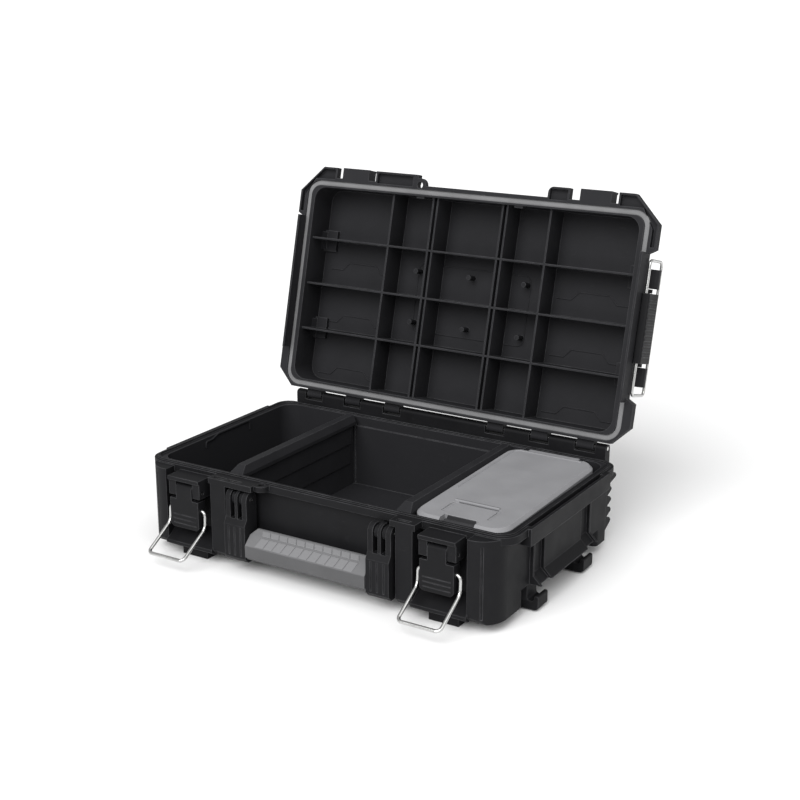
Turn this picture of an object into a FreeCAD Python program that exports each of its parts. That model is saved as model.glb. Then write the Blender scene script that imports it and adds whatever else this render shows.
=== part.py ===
import FreeCAD, Part
import math
import os

import Sketcher

# Hinged-lid tool case, shown open.
# Millimetres. +X to the right, +Y to the hinge side, +Z up; the origin is on the floor
# under the middle of the tub. Pieces of the lid are drawn shut and then swung open.

doc = FreeCAD.newDocument("tool_case")
sheet = doc.addObject("Spreadsheet::Sheet", "Sizes")

SIZES = {
    # tub
    "tub_width": 510,
    "tub_depth": 287,
    "tub_corner": 24,
    "tub_bottom": 13,
    "wall": 3.5,
    "rim_height": 117.5,
    "rim_thick": 9.5,
    "rim_margin": 6,
    "side_bevel": 23,
    "seal_out_side": 5,
    "seal_out_front": 1.5,
    "seal_corner": 18,
    "ridge_width": 3,
    "ridge_rise": 2.5,
    "ledge_height": 104,
    "ledge_depth": 2.5,
    # front of the tub
    "front_reach": 24.5,
    "corner_round": 32,
    "corner_length": 68,
    "corner_inner": 220,
    "pillar_inner": 125,
    "pillar_width": 23,
    "front_bevel": 8,
    "column_groove": 236,
    "shelf_thick": 7.5,
    "shelf_past": 3,
    "shelf_pocket": 18,
    "foot_width": 40,
    "foot_depth": 30,
    "foot_front": 15,
    "chin_reach": 28,
    "chin_tip": 21,
    "chin_root": 40,
    # side rails, flares and stacking hooks
    "rail_reach": 15,
    "rail_height": 21.5,
    "rail_front": 108,
    "rail_back": 114,
    "trough_depth": 18.5,
    "panel_proud": 5,
    "flare_reach": 11,
    "flare_foot": 36,
    "hook_offset": 64,
    "hook_width": 25,
    "hook_slot": 9.5,
    "hook_tip": 5.5,
    "hook_bottom": 2,
    "hook_height": 18,
    "hook_web": 11,
    # hinge
    "hinge_behind": 16.5,
    "hinge_rise": 13.5,
    "rod_radius": 2.5,
    "rod_length": 490,
    "knuckle_radius": 6,
    "knuckle_width": 24,
    "knuckle_gap": 2.5,
    "knuckle_near": 82,
    "knuckle_pitch": 66.5,
    "hinge_wall": 13,
    "pin_fit": 0.06,
    # rear bumpers
    "bumper_width": 46,
    "bumper_inset": 6,
    "fin_root": 9,
    "fin_reach": 27,
    "top_fin_reach": 41,
    "fin_pitch": 14.5,
    "fin_count": 5,
    "fin_high": 88,
    "fin_tip": 2,
    # carry handle
    "handle_offset": 105,
    "arm_width": 32,
    "arm_back_gap": 8,
    "arm_top": 10,
    "arm_depth": 25,
    "arm_low": 17,
    "arm_neck": 24,
    "arm_groove": 9,
    "handle_height": 98,
    "slot_width": 7,
    "slot_shift": 5.5,
    "slot_drop": 25,
    "lug_play": 0.8,
    "lug_radius": 7,
    "handle_pin_radius": 2.5,
    "grip_low": 23,
    "grip_height": 37,
    "grip_depth": 27,
    "grip_front": 34.5,
    "grip_face": 20,
    "grip_bevel": 11,
    "grip_crown": 8,
    "grip_end_bevel": 7,
    "core_inset": 7,
    "end_gap": 1,
    # front latches
    "latch_offset": 185,
    "lever_width": 45,
    "tongue_width": 25,
    "lever_height": 94,
    "lever_behind": 24.5,
    "lever_thick": 14,
    "lever_shoulder": 11,
    "lever_low": 41,
    "lever_corner": 8,
    "tongue_top": 9,
    "latch_pin_radius": 2,
    "ear_width": 49,
    "ear_drop": 7,
    "housing_front": 31,
    "ledge_front": 33.5,
    "ledge_thick": 4,
    "latch_play": 0.8,
    "bail_radius": 2.25,
    "bail_drop": 24,
    "bail_half": 28,
    "bail_kink": 22,
    "bail_out": 47,
    "bail_down": 50.2,
    "bail_bend": 6,
    "bail_kink_bend": 14,
    "stub_depth": 6.5,
    # padlock eye
    "eye_place": 78,
    "eye_reach": 20,
    "eye_radius": 9.5,
    "eye_hole": 4.5,
    "eye_thick": 7,
    # lid
    "lid_open": 103.93,
    "lid_inset": 1,
    "lid_rise": 49,
    "lid_top_round": 10,
    "lid_corner": 22,
    "lid_gap": 0.5,
    "flange_thick": 10,
    "flange_front": 10,
    "flange_side": 21,
    "flange_back": 8.5,
    "bay_front": 100,
    "bay_back": 97,
    "skirt_thick": 2.9,
    "skirt_drop": 16,
    "skirt_play": 0.8,
    "flange_chamfer": 36,
    "tab_reach": 25,
    "tab_rise": 7.9,
    "tab_lip": 2.6,
    "tab_half": 22,
    "seal_width": 7,
    "seal_gap": 0.3,
    "seal_thick": 5.2,
    "rib_thick": 2.5,
    "rib_gap": 4.5,
    "rib_row": 66,
    "rib_outer": 122,
    "rib_inner": 54,
    "rib_clear": 7,
    "peg_radius": 3.5,
    "peg_column": 85,
    "peg_row": 36,
    "peg_length": 15.5,
    "pocket_depth": 7,
    "pocket_lip": 2.5,
    "clip_place": 76,
    "clip_width": 12,
    "nest_depth": 6,
    "nest_wall": 2.5,
    # side stacking latches
    "stack_half": 45,
    "stack_pivot_out": 5,
    "stack_pivot_drop": 7,
    "stack_hub": 4.5,
    "stack_pin_radius": 1.8,
    "stack_ear": 5,
    "stack_play": 0.7,
    "stack_grip": 5,
    "stack_low": 1.5,
    "grip_rib": 3.4,
    "grip_rib_pitch": 7,
    "stack_wire": 2,
    "wire_height": 8.5,
    "wire_out": 3,
    "wire_half": 87,
    "wire_rise": 41,
    "wire_bend": 6,
    "lug_out": 16,
    "lug_thick": 8.5,
    # dividers
    "divider_left": 137.5,
    "divider_right": 111.5,
    "divider_thick": 4,
    "divider_play": 0.4,
    "divider_top": 121.5,
    "stiffener_reach": 125,
    "cap_width": 20,
    "cap_flat": 10.5,
    "cap_bevel": 9,
    "cap_skirt": 5,
    "cap_end_gap": 8,
    "cap_slope": 18,
    "guide_thick": 3,
    "guide_reach": 4,
    # organiser
    "bin_gap": 3.5,
    "bin_side_gap": 6,
    "bin_end_gap": 8,
    "bin_back_gap": 14,
    "bin_height": 89.5,
    "bin_wall": 2,
    "bin_corner": 16,
    "bin_lid_corner": 24,
    "bin_lid_left": 1.8,
    "bin_lid_right": 2,
    "bin_lid_front": 1.5,
    "bin_lid_seat": 0.3,
    "bin_lid_thick": 11.5,
    "bin_lid_rise": 4.4,
    "bin_lid_skin": 2.6,
    "bin_lid_bevel": 4,
    "notch_width": 46,
    "notch_depth": 15,
    "bin_latch_width": 41,
    "bin_latch_reach": 13.5,
    "bin_latch_drop": 10,
    "bin_latch_thick": 3,
    "bin_latch_hub": 3,
    "bin_pin_radius": 1.25,
    "bin_hinge_behind": 1,
    "bin_hub": 4,
    "bin_hinge_half": 36,
    "bin_lug": 6,
    "emboss_depth": 1.4,
    "emboss_width": 5,
}


class Dim:
    """A length that keeps the sheet expression it was worked out from."""

    def __init__(self, value, text):
        self.value = value
        self.text = text

    def __float__(self):
        return float(self.value)

    def __add__(self, other):
        other = dim(other)
        return Dim(self.value + other.value, f"({self.text} + {other.text})")

    __radd__ = __add__

    def __sub__(self, other):
        other = dim(other)
        return Dim(self.value - other.value, f"({self.text} - {other.text})")

    def __rsub__(self, other):
        return dim(other) - self

    def __mul__(self, other):
        other = dim(other)
        return Dim(self.value * other.value, f"({self.text} * {other.text})")

    __rmul__ = __mul__

    def __truediv__(self, other):
        other = dim(other)
        return Dim(self.value / other.value, f"({self.text} / {other.text})")

    def __neg__(self):
        return Dim(-self.value, f"(-{self.text})")


def dim(number):
    if isinstance(number, Dim):
        return number
    return Dim(float(number), f"({float(number)})")


class Sheet:
    """The sheet's cells, read by name."""


S = Sheet()
for row, (alias, number) in enumerate(SIZES.items(), start=1):
    sheet.set(f"A{row}", alias.replace("_", " "))
    sheet.set(f"B{row}", str(number))
    sheet.setAlias(f"B{row}", alias)
    setattr(S, alias, Dim(float(number), f"Sizes.{alias}"))
doc.recompute()


# drawing helpers

def bind(thing, path, length):
    thing.setExpression(path, dim(length).text)


def place_point(sketch, geometry, end, x, y):
    for kind, length in (("DistanceX", dim(x)), ("DistanceY", dim(y))):
        rule = Sketcher.Constraint(kind, -1, 1, geometry, end, float(length))
        index = sketch.addConstraint(rule)
        bind(sketch, f"Constraints[{index}]", length)


def set_radius(sketch, geometry, radius):
    index = sketch.addConstraint(Sketcher.Constraint("Radius", geometry, float(radius)))
    bind(sketch, f"Constraints[{index}]", radius)


def circle(x, y, radius):
    return {"centre": (dim(x), dim(y)), "radius": dim(radius)}


def rectangle(x_low, x_high, y_low, y_high, radius=None):
    spots = [(x_low, y_low), (x_high, y_low), (x_high, y_high), (x_low, y_high)]
    return [spot + (radius,) if radius is not None else spot for spot in spots]


def mirrored(loop):
    """The same loop on the other side of X = 0."""
    if isinstance(loop, dict):
        x, y = loop["centre"]
        return circle(-x, y, loop["radius"])
    return [(-dim(spot[0]),) + tuple(spot[1:]) for spot in loop]


def both(*loops):
    return list(loops) + [mirrored(loop) for loop in loops]


def draw_circle(sketch, loop):
    x, y = loop["centre"]
    round_edge = Part.Circle(
        FreeCAD.Vector(float(x), float(y), 0), FreeCAD.Vector(0, 0, 1), float(loop["radius"])
    )
    index = sketch.addGeometry(round_edge, False)
    place_point(sketch, index, 3, x, y)
    set_radius(sketch, index, loop["radius"])


def corner_arc(before, spot, after, radius):
    """Arc that rounds a corner: its curve, its two ends and whether it turns left."""
    into = (spot - before).normalize()
    out = (after - spot).normalize()
    turn = into.getAngle(out)
    trim = radius * math.tan(turn / 2)
    start, stop = spot - into * trim, spot + out * trim
    centre = spot + (out - into).normalize() * (radius / math.cos(turn / 2))
    left = into.cross(out).z > 0
    first, last = (start, stop) if left else (stop, start)
    angles = [math.atan2(p.y - centre.y, p.x - centre.x) for p in (first, last)]
    curve = Part.ArcOfCircle(Part.Circle(centre, FreeCAD.Vector(0, 0, 1), radius), *angles)
    return curve, start, stop, left


def draw_polygon(sketch, corners):
    """Closed loop through the corners; a third entry is the radius of that corner."""
    spots = [FreeCAD.Vector(float(c[0]), float(c[1]), 0) for c in corners]
    count = len(corners)
    arcs = {}
    for i, corner in enumerate(corners):
        if len(corner) == 3:
            arcs[i] = corner_arc(spots[i - 1], spots[i], spots[(i + 1) % count], float(corner[2]))
    sides = []
    for i in range(count):
        j = (i + 1) % count
        start = arcs[i][2] if i in arcs else spots[i]
        stop = arcs[j][1] if j in arcs else spots[j]
        sides.append(sketch.addGeometry(Part.LineSegment(start, stop), False))
    for i, corner in enumerate(corners):
        before, after = sides[i - 1], sides[i]
        if i not in arcs:
            sketch.addConstraint(Sketcher.Constraint("Coincident", before, 2, after, 1))
            place_point(sketch, after, 1, corner[0], corner[1])
            continue
        curve, _, _, left = arcs[i]
        arc = sketch.addGeometry(curve, False)
        apex = sketch.addGeometry(Part.Point(spots[i]), True)
        place_point(sketch, apex, 1, corner[0], corner[1])
        sketch.addConstraint(Sketcher.Constraint("PointOnObject", apex, 1, before))
        sketch.addConstraint(Sketcher.Constraint("PointOnObject", apex, 1, after))
        first, last = (1, 2) if left else (2, 1)
        sketch.addConstraint(Sketcher.Constraint("Tangent", before, 2, arc, first))
        sketch.addConstraint(Sketcher.Constraint("Tangent", arc, last, after, 1))
        set_radius(sketch, arc, corner[2])


PLANES = {"X": "YZ_Plane", "Y": "XZ_Plane", "Z": "XY_Plane"}


def prism(kind, body, name, axis, low, high, loops):
    """Pad or pocket of one or more loops between two heights along an axis."""
    sketch = body.newObject("Sketcher::SketchObject", f"{name}_outline")
    plane = next(o for o in body.Origin.OriginFeatures if o.Role == PLANES[axis])
    sketch.AttachmentSupport = [(plane, "")]
    sketch.MapMode = "FlatFace"
    # the XZ plane faces -Y, so there the outline starts from the high end
    bind(sketch, "AttachmentOffset.Base.z", -dim(high) if axis == "Y" else dim(low))
    for loop in loops:
        if isinstance(loop, dict):
            draw_circle(sketch, loop)
        else:
            draw_polygon(sketch, loop)
    solid = body.newObject(f"PartDesign::{kind}", name)
    solid.Profile = sketch
    bind(solid, "Length", dim(high) - low)
    solid.Reversed = kind == "Pocket"
    return solid


def add(body, name, axis, low, high, *loops):
    return prism("Pad", body, name, axis, low, high, loops)


def cut(body, name, axis, low, high, *loops):
    return prism("Pocket", body, name, axis, low, high, loops)


def soften(kind, body, name, size, wanted):
    """Fillet or chamfer on the edges of the body's last feature that are wanted."""
    doc.recompute()
    tip = body.Tip
    edges = [f"Edge{i}" for i, edge in enumerate(tip.Shape.Edges, start=1) if wanted(edge)]
    feature = body.newObject(f"PartDesign::{kind}", name)
    feature.Base = (tip, edges)
    bind(feature, "Radius" if kind == "Fillet" else "Size", size)
    return feature


def on_slope(y_low, z_low, y_high, z_high):
    """Picks edges that lie in a plane that rises steadily along Y."""
    rise = (float(z_high) - float(z_low)) / (float(y_high) - float(y_low))

    def wanted(edge):
        points = [edge.valueAt(t) for t in (edge.FirstParameter, edge.LastParameter)]
        return all(abs(p.z - float(z_low) - rise * (p.y - float(y_low))) < 0.01 for p in points)

    return wanted


def level_at(height):
    """Picks edges that lie flat at one height."""
    level = float(height)

    def wanted(edge):
        box = edge.BoundBox
        return abs(box.ZMin - level) < 0.01 and abs(box.ZMax - level) < 0.01

    return wanted


def new_body(label):
    body = doc.addObject("PartDesign::Body", label)
    body.Label = label
    return body


def rod_along_x(name, x_low, length, y, z, radius):
    rod = doc.addObject("Part::Cylinder", name)
    rod.Placement = FreeCAD.Placement(FreeCAD.Vector(), FreeCAD.Rotation(FreeCAD.Vector(0, 1, 0), 90))
    bind(rod, "Radius", radius)
    bind(rod, "Height", length)
    for letter, value in zip("xyz", (x_low, y, z)):
        bind(rod, f"Placement.Base.{letter}", value)
    return rod


def group(label, members):
    node = doc.addObject("Part::Compound", label)
    node.Label = label
    node.Links = members
    return node


def bent_wire(label, points, bends, radius):
    """Round wire through the points, each inner point bent on its own radius."""
    spots = [FreeCAD.Vector(*(float(c) for c in point)) for point in points]
    edges = []
    last = spots[0]
    for i in range(1, len(spots) - 1):
        into = (spots[i] - spots[i - 1]).normalize()
        out = (spots[i + 1] - spots[i]).normalize()
        turn = into.getAngle(out)
        trim = float(bends[i - 1]) * math.tan(turn / 2)
        start, stop = spots[i] - into * trim, spots[i] + out * trim
        inward = (out - into).normalize()
        middle = spots[i] + inward * float(bends[i - 1]) * (1 / math.cos(turn / 2) - 1)
        edges.append(Part.LineSegment(last, start).toShape())
        edges.append(Part.Arc(start, middle, stop).toShape())
        last = stop
    edges.append(Part.LineSegment(last, spots[-1]).toShape())
    path = Part.Wire(edges)
    section = Part.Wire(Part.Circle(spots[0], spots[1] - spots[0], float(radius)).toShape())
    node = doc.addObject("Part::Feature", label)
    node.Label = label
    node.Shape = path.makePipeShell([section], True, False)
    return node


# places that several pieces share

tub_x = S.tub_width / 2
tub_y = S.tub_depth / 2
inner_x = tub_x - S.wall
inner_y = tub_y - S.wall
floor_z = S.tub_bottom + S.wall
rim_z = S.rim_height
rim_low = rim_z - S.rim_thick
ridge_z = rim_z + S.ridge_rise
seal_x = tub_x + S.seal_out_side
seal_y = tub_y + S.seal_out_front
front_y = -(tub_y + S.front_reach)
rail_x = tub_x + S.rail_reach
bevel_top = S.tub_bottom + S.side_bevel
hinge_y = tub_y + S.hinge_behind
hinge_z = rim_z + S.hinge_rise
knuckles = [S.knuckle_near + S.knuckle_pitch * step for step in range(3)]
handle_y = -(tub_y + S.arm_back_gap + S.arm_top)
lever_y = -(tub_y + S.lever_behind)
lever_back = lever_y + (S.lever_thick / 2 - 1)
lever_front = lever_back - S.lever_thick
bail_y = lever_y - 1
bail_z = S.lever_height - S.bail_drop
flange_low = rim_z + S.lid_gap
flange_top = flange_low + S.flange_thick
lid_x = tub_x - S.lid_inset
lid_y = tub_y - S.lid_inset
lid_top = flange_low + S.lid_rise
lid_inside = lid_top - S.wall
skirt_low_x = seal_x + S.ridge_width / 2 + S.skirt_play
bay_x = skirt_low_x + S.skirt_thick
stack_x = lid_x + S.stack_pivot_out
stack_z = lid_top - S.stack_pivot_drop
wire_x = bay_x + S.wire_out
wire_z = flange_low + S.wire_height
divider_places = {"left": -S.divider_left, "right": S.divider_right}
bin_left = S.divider_right + S.cap_width / 2 + S.bin_gap
bin_right = inner_x - S.bin_side_gap
bin_mid = (bin_left + bin_right) / 2
bin_y = inner_y - S.bin_end_gap
bin_back = inner_y - S.bin_back_gap
bin_top = floor_z + S.bin_height
bin_lid_low = bin_top + S.bin_lid_seat
bin_lid_top = bin_lid_low + S.bin_lid_thick
bin_lid_front = -(bin_y + S.bin_lid_front)
bin_hinge_y = bin_back + S.bin_hinge_behind
bin_hinge_z = bin_lid_top + S.bin_lid_rise - S.bin_hub
bin_latch_y = bin_lid_front + S.notch_depth - S.bin_latch_hub - 0.6
bin_latch_z = bin_lid_top - S.bin_latch_hub - S.bin_lid_bevel

hinge_line = FreeCAD.Vector(0, float(hinge_y), float(hinge_z))
swing = FreeCAD.Rotation(FreeCAD.Vector(1, 0, 0), -float(S.lid_open))
lid_placement = FreeCAD.Placement(hinge_line - swing.multVec(hinge_line), swing)


def make_base():
    """Tub with everything that is moulded on it."""
    base = new_body("base_shell")
    add(base, "tub", "Z", S.tub_bottom, rim_z, rectangle(-tub_x, tub_x, -tub_y, tub_y, S.tub_corner))
    bevel = [
        (tub_x + 1, bevel_top + 1),
        (tub_x + 1, S.tub_bottom - 1),
        (tub_x - S.side_bevel - 1, S.tub_bottom - 1),
    ]
    cut(base, "hand_hold", "Y", -tub_y - 1, tub_y + 1, *both(bevel))
    rim_x, rim_y = seal_x + S.rim_margin, seal_y + S.rim_margin
    add(base, "rim", "Z", rim_low, rim_z,
        rectangle(-rim_x, rim_x, -rim_y, rim_y, S.seal_corner + S.rim_margin))
    make_base_front(base)
    make_base_sides(base)
    make_base_back(base)
    cavity = rectangle(-inner_x, inner_x, -inner_y, inner_y, S.tub_corner - S.wall)
    slope = S.side_bevel - S.wall * (2 - math.sqrt(2))
    cut(base, "cavity", "Z", floor_z + slope, rim_z + 1, cavity)
    well = [
        (-inner_x, floor_z + slope),
        (-inner_x + slope, floor_z),
        (inner_x - slope, floor_z),
        (inner_x, floor_z + slope),
    ]
    cut(base, "well", "Y", -inner_y, inner_y, well)
    half = S.ridge_width / 2
    add(base, "ridge", "Z", rim_z, ridge_z,
        rectangle(-seal_x - half, seal_x + half, -seal_y - half, seal_y + half, S.seal_corner + half),
        rectangle(-seal_x + half, seal_x - half, -seal_y + half, seal_y - half, S.seal_corner - half))
    slot_half = S.divider_thick / 2 + S.divider_play
    guides = []
    for place in divider_places.values():
        for x in (place - slot_half - S.guide_thick, place + slot_half):
            for y in (-inner_y, inner_y - S.guide_reach):
                guides.append(rectangle(x, x + S.guide_thick, y, y + S.guide_reach))
    cap_low = S.divider_top - S.cap_bevel - S.cap_skirt
    add(base, "divider_guides", "Z", floor_z, cap_low - 2, *guides)
    beside = slot_half + S.guide_thick / 2
    ledge = rectangle(divider_places["left"] + beside, divider_places["right"] - beside,
                      inner_y - S.ledge_depth, inner_y)
    add(base, "rear_ledge", "Z", floor_z, S.ledge_height, ledge)
    return base


def make_base_front(base):
    """Corner columns, pillars, shelves, latch housings, handle lugs, padlock eye and feet."""
    corner_x = tub_x
    column = [
        (S.corner_inner, -tub_y + S.wall),
        (S.corner_inner, front_y),
        (corner_x, front_y, S.corner_round),
        (corner_x, front_y + S.corner_length),
        (corner_x - S.side_bevel - S.wall, front_y + S.corner_length),
    ]
    pillar = rectangle(S.pillar_inner, S.pillar_inner + S.pillar_width, front_y, -tub_y + S.wall)
    post_in = tub_x - S.bumper_inset - S.bumper_width - 3
    post = rectangle(post_in, tub_x, tub_y - S.tub_corner - 8, tub_y, S.bumper_inset)
    add(base, "columns", "Z", S.tub_bottom, rim_z - 2, *both(column, pillar))
    bevel = [
        (front_y - 1, S.tub_bottom - 1),
        (front_y + S.front_bevel, S.tub_bottom - 1),
        (front_y - 1, S.tub_bottom + S.front_bevel),
    ]
    cut(base, "front_bevel", "X", -tub_x - 1, tub_x + 1, bevel)
    groove = rectangle(S.column_groove, S.column_groove + 2.5, front_y - 1, front_y + 4.5)
    cut(base, "column_groove", "Z", S.tub_bottom + 6, rim_low, *both(groove))
    add(base, "rear_posts", "Z", S.tub_bottom, rim_low + 2, *both(post))
    shelf_out = S.pillar_inner + S.pillar_width + S.shelf_past
    right_shelf = rectangle(S.pillar_inner - 8, shelf_out, front_y, -tub_y)
    left_shelf = rectangle(-shelf_out, -S.eye_place - 6, front_y, -tub_y)
    add(base, "front_shelf", "Z", rim_z - S.shelf_thick, rim_z, right_shelf, left_shelf)
    pockets = []
    for x in (-shelf_out + 5, -shelf_out + S.shelf_pocket + 10, S.pillar_inner - 1):
        pockets.append(rectangle(x, x + S.shelf_pocket, front_y + 4, front_y + 9))
    cut(base, "shelf_pockets", "Z", rim_z - 2, rim_z + 1, *pockets)
    foot_in = S.latch_offset - S.foot_width / 2
    foot_y = -tub_y - S.foot_front
    foot = rectangle(foot_in, foot_in + S.foot_width, foot_y, foot_y + S.foot_depth)
    back_foot = rectangle(foot_in, foot_in + S.foot_width, tub_y - S.foot_depth, tub_y)
    chin_y = -tub_y - S.chin_reach
    chin = [
        (-tub_y + 1, S.tub_bottom),
        (chin_y + 6, S.tub_bottom),
        (chin_y, S.tub_bottom + 4),
        (chin_y, S.chin_tip),
        (-tub_y + 1, S.chin_root),
    ]
    chin_in = S.pillar_inner + S.pillar_width - 1
    for low in (chin_in, -(S.corner_inner + 1)):
        add(base, "chin", "X", low, low + (S.corner_inner + 1 - chin_in), chin)
    add(base, "feet", "Z", 0, S.tub_bottom, *both(foot, back_foot))

    ear_half = S.ear_width / 2
    housing_y = -(tub_y + S.housing_front)
    housing = rectangle(S.latch_offset - ear_half, S.latch_offset + ear_half, housing_y, -tub_y)
    ear_low = S.lever_height - S.ear_drop
    add(base, "latch_housing", "Z", ear_low, rim_low, *both(housing))
    ledge = rectangle(S.latch_offset - ear_half, S.latch_offset + ear_half,
                      -(tub_y + S.ledge_front), -tub_y)
    add(base, "latch_ledge", "Z", rim_low - 1, rim_low + S.ledge_thick, *both(ledge))
    tongue_half = S.tongue_width / 2 + S.latch_play
    mouth = rectangle(S.latch_offset - tongue_half, S.latch_offset + tongue_half, housing_y - 1, -tub_y)
    mouth_top = S.lever_height + S.tongue_top + 4
    cut(base, "latch_mouth", "Z", ear_low - 1, mouth_top, *both(mouth))
    bore = circle(lever_y, S.lever_height, S.latch_pin_radius)
    for side in (-1, 1):
        low = side * S.latch_offset - ear_half - 1
        cut(base, "latch_bore", "X", low, low + S.ear_width + 2, bore)

    lug = [
        (-tub_y + 1, S.handle_height + S.lug_radius),
        (handle_y - S.lug_radius, S.handle_height + S.lug_radius, S.lug_radius - 0.1),
        (handle_y - S.lug_radius, S.handle_height - S.lug_radius, S.lug_radius - 0.1),
        (-tub_y + 1, S.handle_height - S.lug_radius - 8),
    ]
    hole = circle(handle_y, S.handle_height, S.handle_pin_radius)
    half = S.slot_width / 2 - S.lug_play
    for side in (-1, 1):
        for shift in (-1, 1):
            middle = side * (S.handle_offset + shift * S.slot_shift)
            add(base, "handle_lug", "X", middle - half, middle + half, lug)
            cut(base, "handle_bore", "X", middle - half - 0.5, middle + half + 0.5, hole)

    eye_y = -(tub_y + S.eye_reach) + S.eye_radius
    eye = [
        (-S.eye_place - S.eye_radius, -tub_y),
        (-S.eye_place - S.eye_radius, eye_y - S.eye_radius, S.eye_radius - 0.1),
        (-S.eye_place + S.eye_radius, eye_y - S.eye_radius, S.eye_radius - 0.1),
        (-S.eye_place + S.eye_radius, -tub_y),
    ]
    add(base, "padlock_eye", "Z", rim_z - S.eye_thick, rim_z, eye)
    cut(base, "padlock_hole", "Z", rim_low - 1, rim_z + 1, circle(-S.eye_place, eye_y, S.eye_hole))


def make_base_sides(base):
    """Rails that take the lid's skirts, flared panels and upturned stacking hooks."""
    rail = rectangle(tub_x - 1, rail_x, -S.rail_front, S.rail_back)
    add(base, "side_rails", "Z", rim_z - S.rail_height, rim_z, *both(rail))
    trough = rectangle(seal_x + S.ridge_width / 2, bay_x + S.skirt_play, -S.bay_front, S.bay_back + 3)
    cut(base, "skirt_trough", "Z", rim_z - S.trough_depth, rim_z + 1, *both(trough))

    hook_in = S.hook_offset - S.hook_width / 2
    hook_out = hook_in + S.hook_width
    wide = S.flare_foot + S.flare_reach

    def flare(proud):
        return [
            (tub_x - S.wall, S.flare_foot),
            (tub_x + proud + S.flare_reach, S.flare_foot),
            (tub_x + proud, wide),
            (tub_x + proud, rim_z - S.rail_height + 1),
            (tub_x - S.wall, rim_z - S.rail_height + 1),
        ]

    add(base, "flared_panel", "Y", -hook_in, hook_in, *both(flare(S.panel_proud)))
    for side in (-1, 1):
        low = hook_in if side > 0 else -hook_out
        add(base, "hook_channel", "Y", low, low + S.hook_width, *both(flare(0.5)))
        rib_low = hook_out if side > 0 else -hook_out - S.wall
        add(base, "channel_rib", "Y", rib_low, rib_low + S.wall, *both(flare(S.panel_proud)))
        slot_in = tub_x + S.flare_reach - S.hook_tip - S.hook_slot
        tip_in = slot_in + S.hook_slot
        tip_out = tip_in + S.hook_tip
        top = S.hook_bottom + S.hook_height
        hook = [
            (tub_x - S.side_bevel - 2, S.tub_bottom + 2),
            (tub_x - S.side_bevel + 4, S.hook_bottom),
            (tip_out, S.hook_bottom, 5),
            (tip_out, top, 2),
            (tip_in, top, 2),
            (tip_in, S.hook_bottom + S.hook_web, 4),
            (slot_in, S.hook_bottom + S.hook_web, 4),
            (slot_in, S.tub_bottom + S.side_bevel - 3),
            (tub_x - S.wall - 4, S.tub_bottom + S.side_bevel - 3),
        ]
        add(base, "stack_hook", "Y", low, low + S.hook_width, *both(hook))


def make_base_back(base):
    """Upright wall that carries the hinge rod between the lid's knuckles."""
    back = hinge_y + S.hinge_wall / 2
    upright = [
        (tub_y - 1, rim_low - 3),
        (back - 6, rim_low - 3),
        (back, rim_low + 3),
        (back, hinge_z + S.knuckle_radius - 1, S.knuckle_radius - 1),
        (hinge_y - S.hinge_wall / 2, hinge_z + S.knuckle_radius - 1, S.knuckle_radius - 1),
        (hinge_y - S.hinge_wall / 2, rim_z - 1),
        (tub_y - 1, rim_z - 1),
    ]
    half = S.rod_length / 2
    add(base, "hinge_wall", "X", -half, half, upright)
    room = S.knuckle_width / 2 + S.knuckle_gap
    gaps = []
    for middle in knuckles:
        gaps += both(rectangle(middle - room, middle + room, hinge_y - S.hinge_wall / 2 - 1, back + 1))
    low = hinge_z - S.knuckle_radius - 1.2
    cut(base, "knuckle_gaps", "Z", low, hinge_z + S.knuckle_radius + 2, *gaps)
    cut(base, "rod_bore", "X", -half - 1, half + 1, circle(hinge_y, hinge_z, S.rod_radius))


def make_bumper(label, side):
    """Saw-toothed block that the case stands on when it is set on its back."""
    bumper = new_body(label)
    outer = tub_x - S.bumper_inset
    near, far = sorted((side * outer, side * (outer - S.bumper_width)), key=float)
    root = tub_y + S.fin_root
    profile = [(tub_y, S.fin_high + S.fin_pitch / 2)]
    for step in range(int(float(S.fin_count))):
        tip_z = S.fin_high - S.fin_pitch * step
        tip_y = tub_y + (S.fin_reach if step else S.top_fin_reach)
        profile += [(root, tip_z + S.fin_pitch / 2), (tip_y - 6, tip_z + 6, 5), (tip_y, tip_z, S.fin_tip)]
    profile.append((tub_y, S.fin_high - S.fin_pitch * S.fin_count))
    add(bumper, "fins", "X", near, far, profile)
    return bumper


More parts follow.
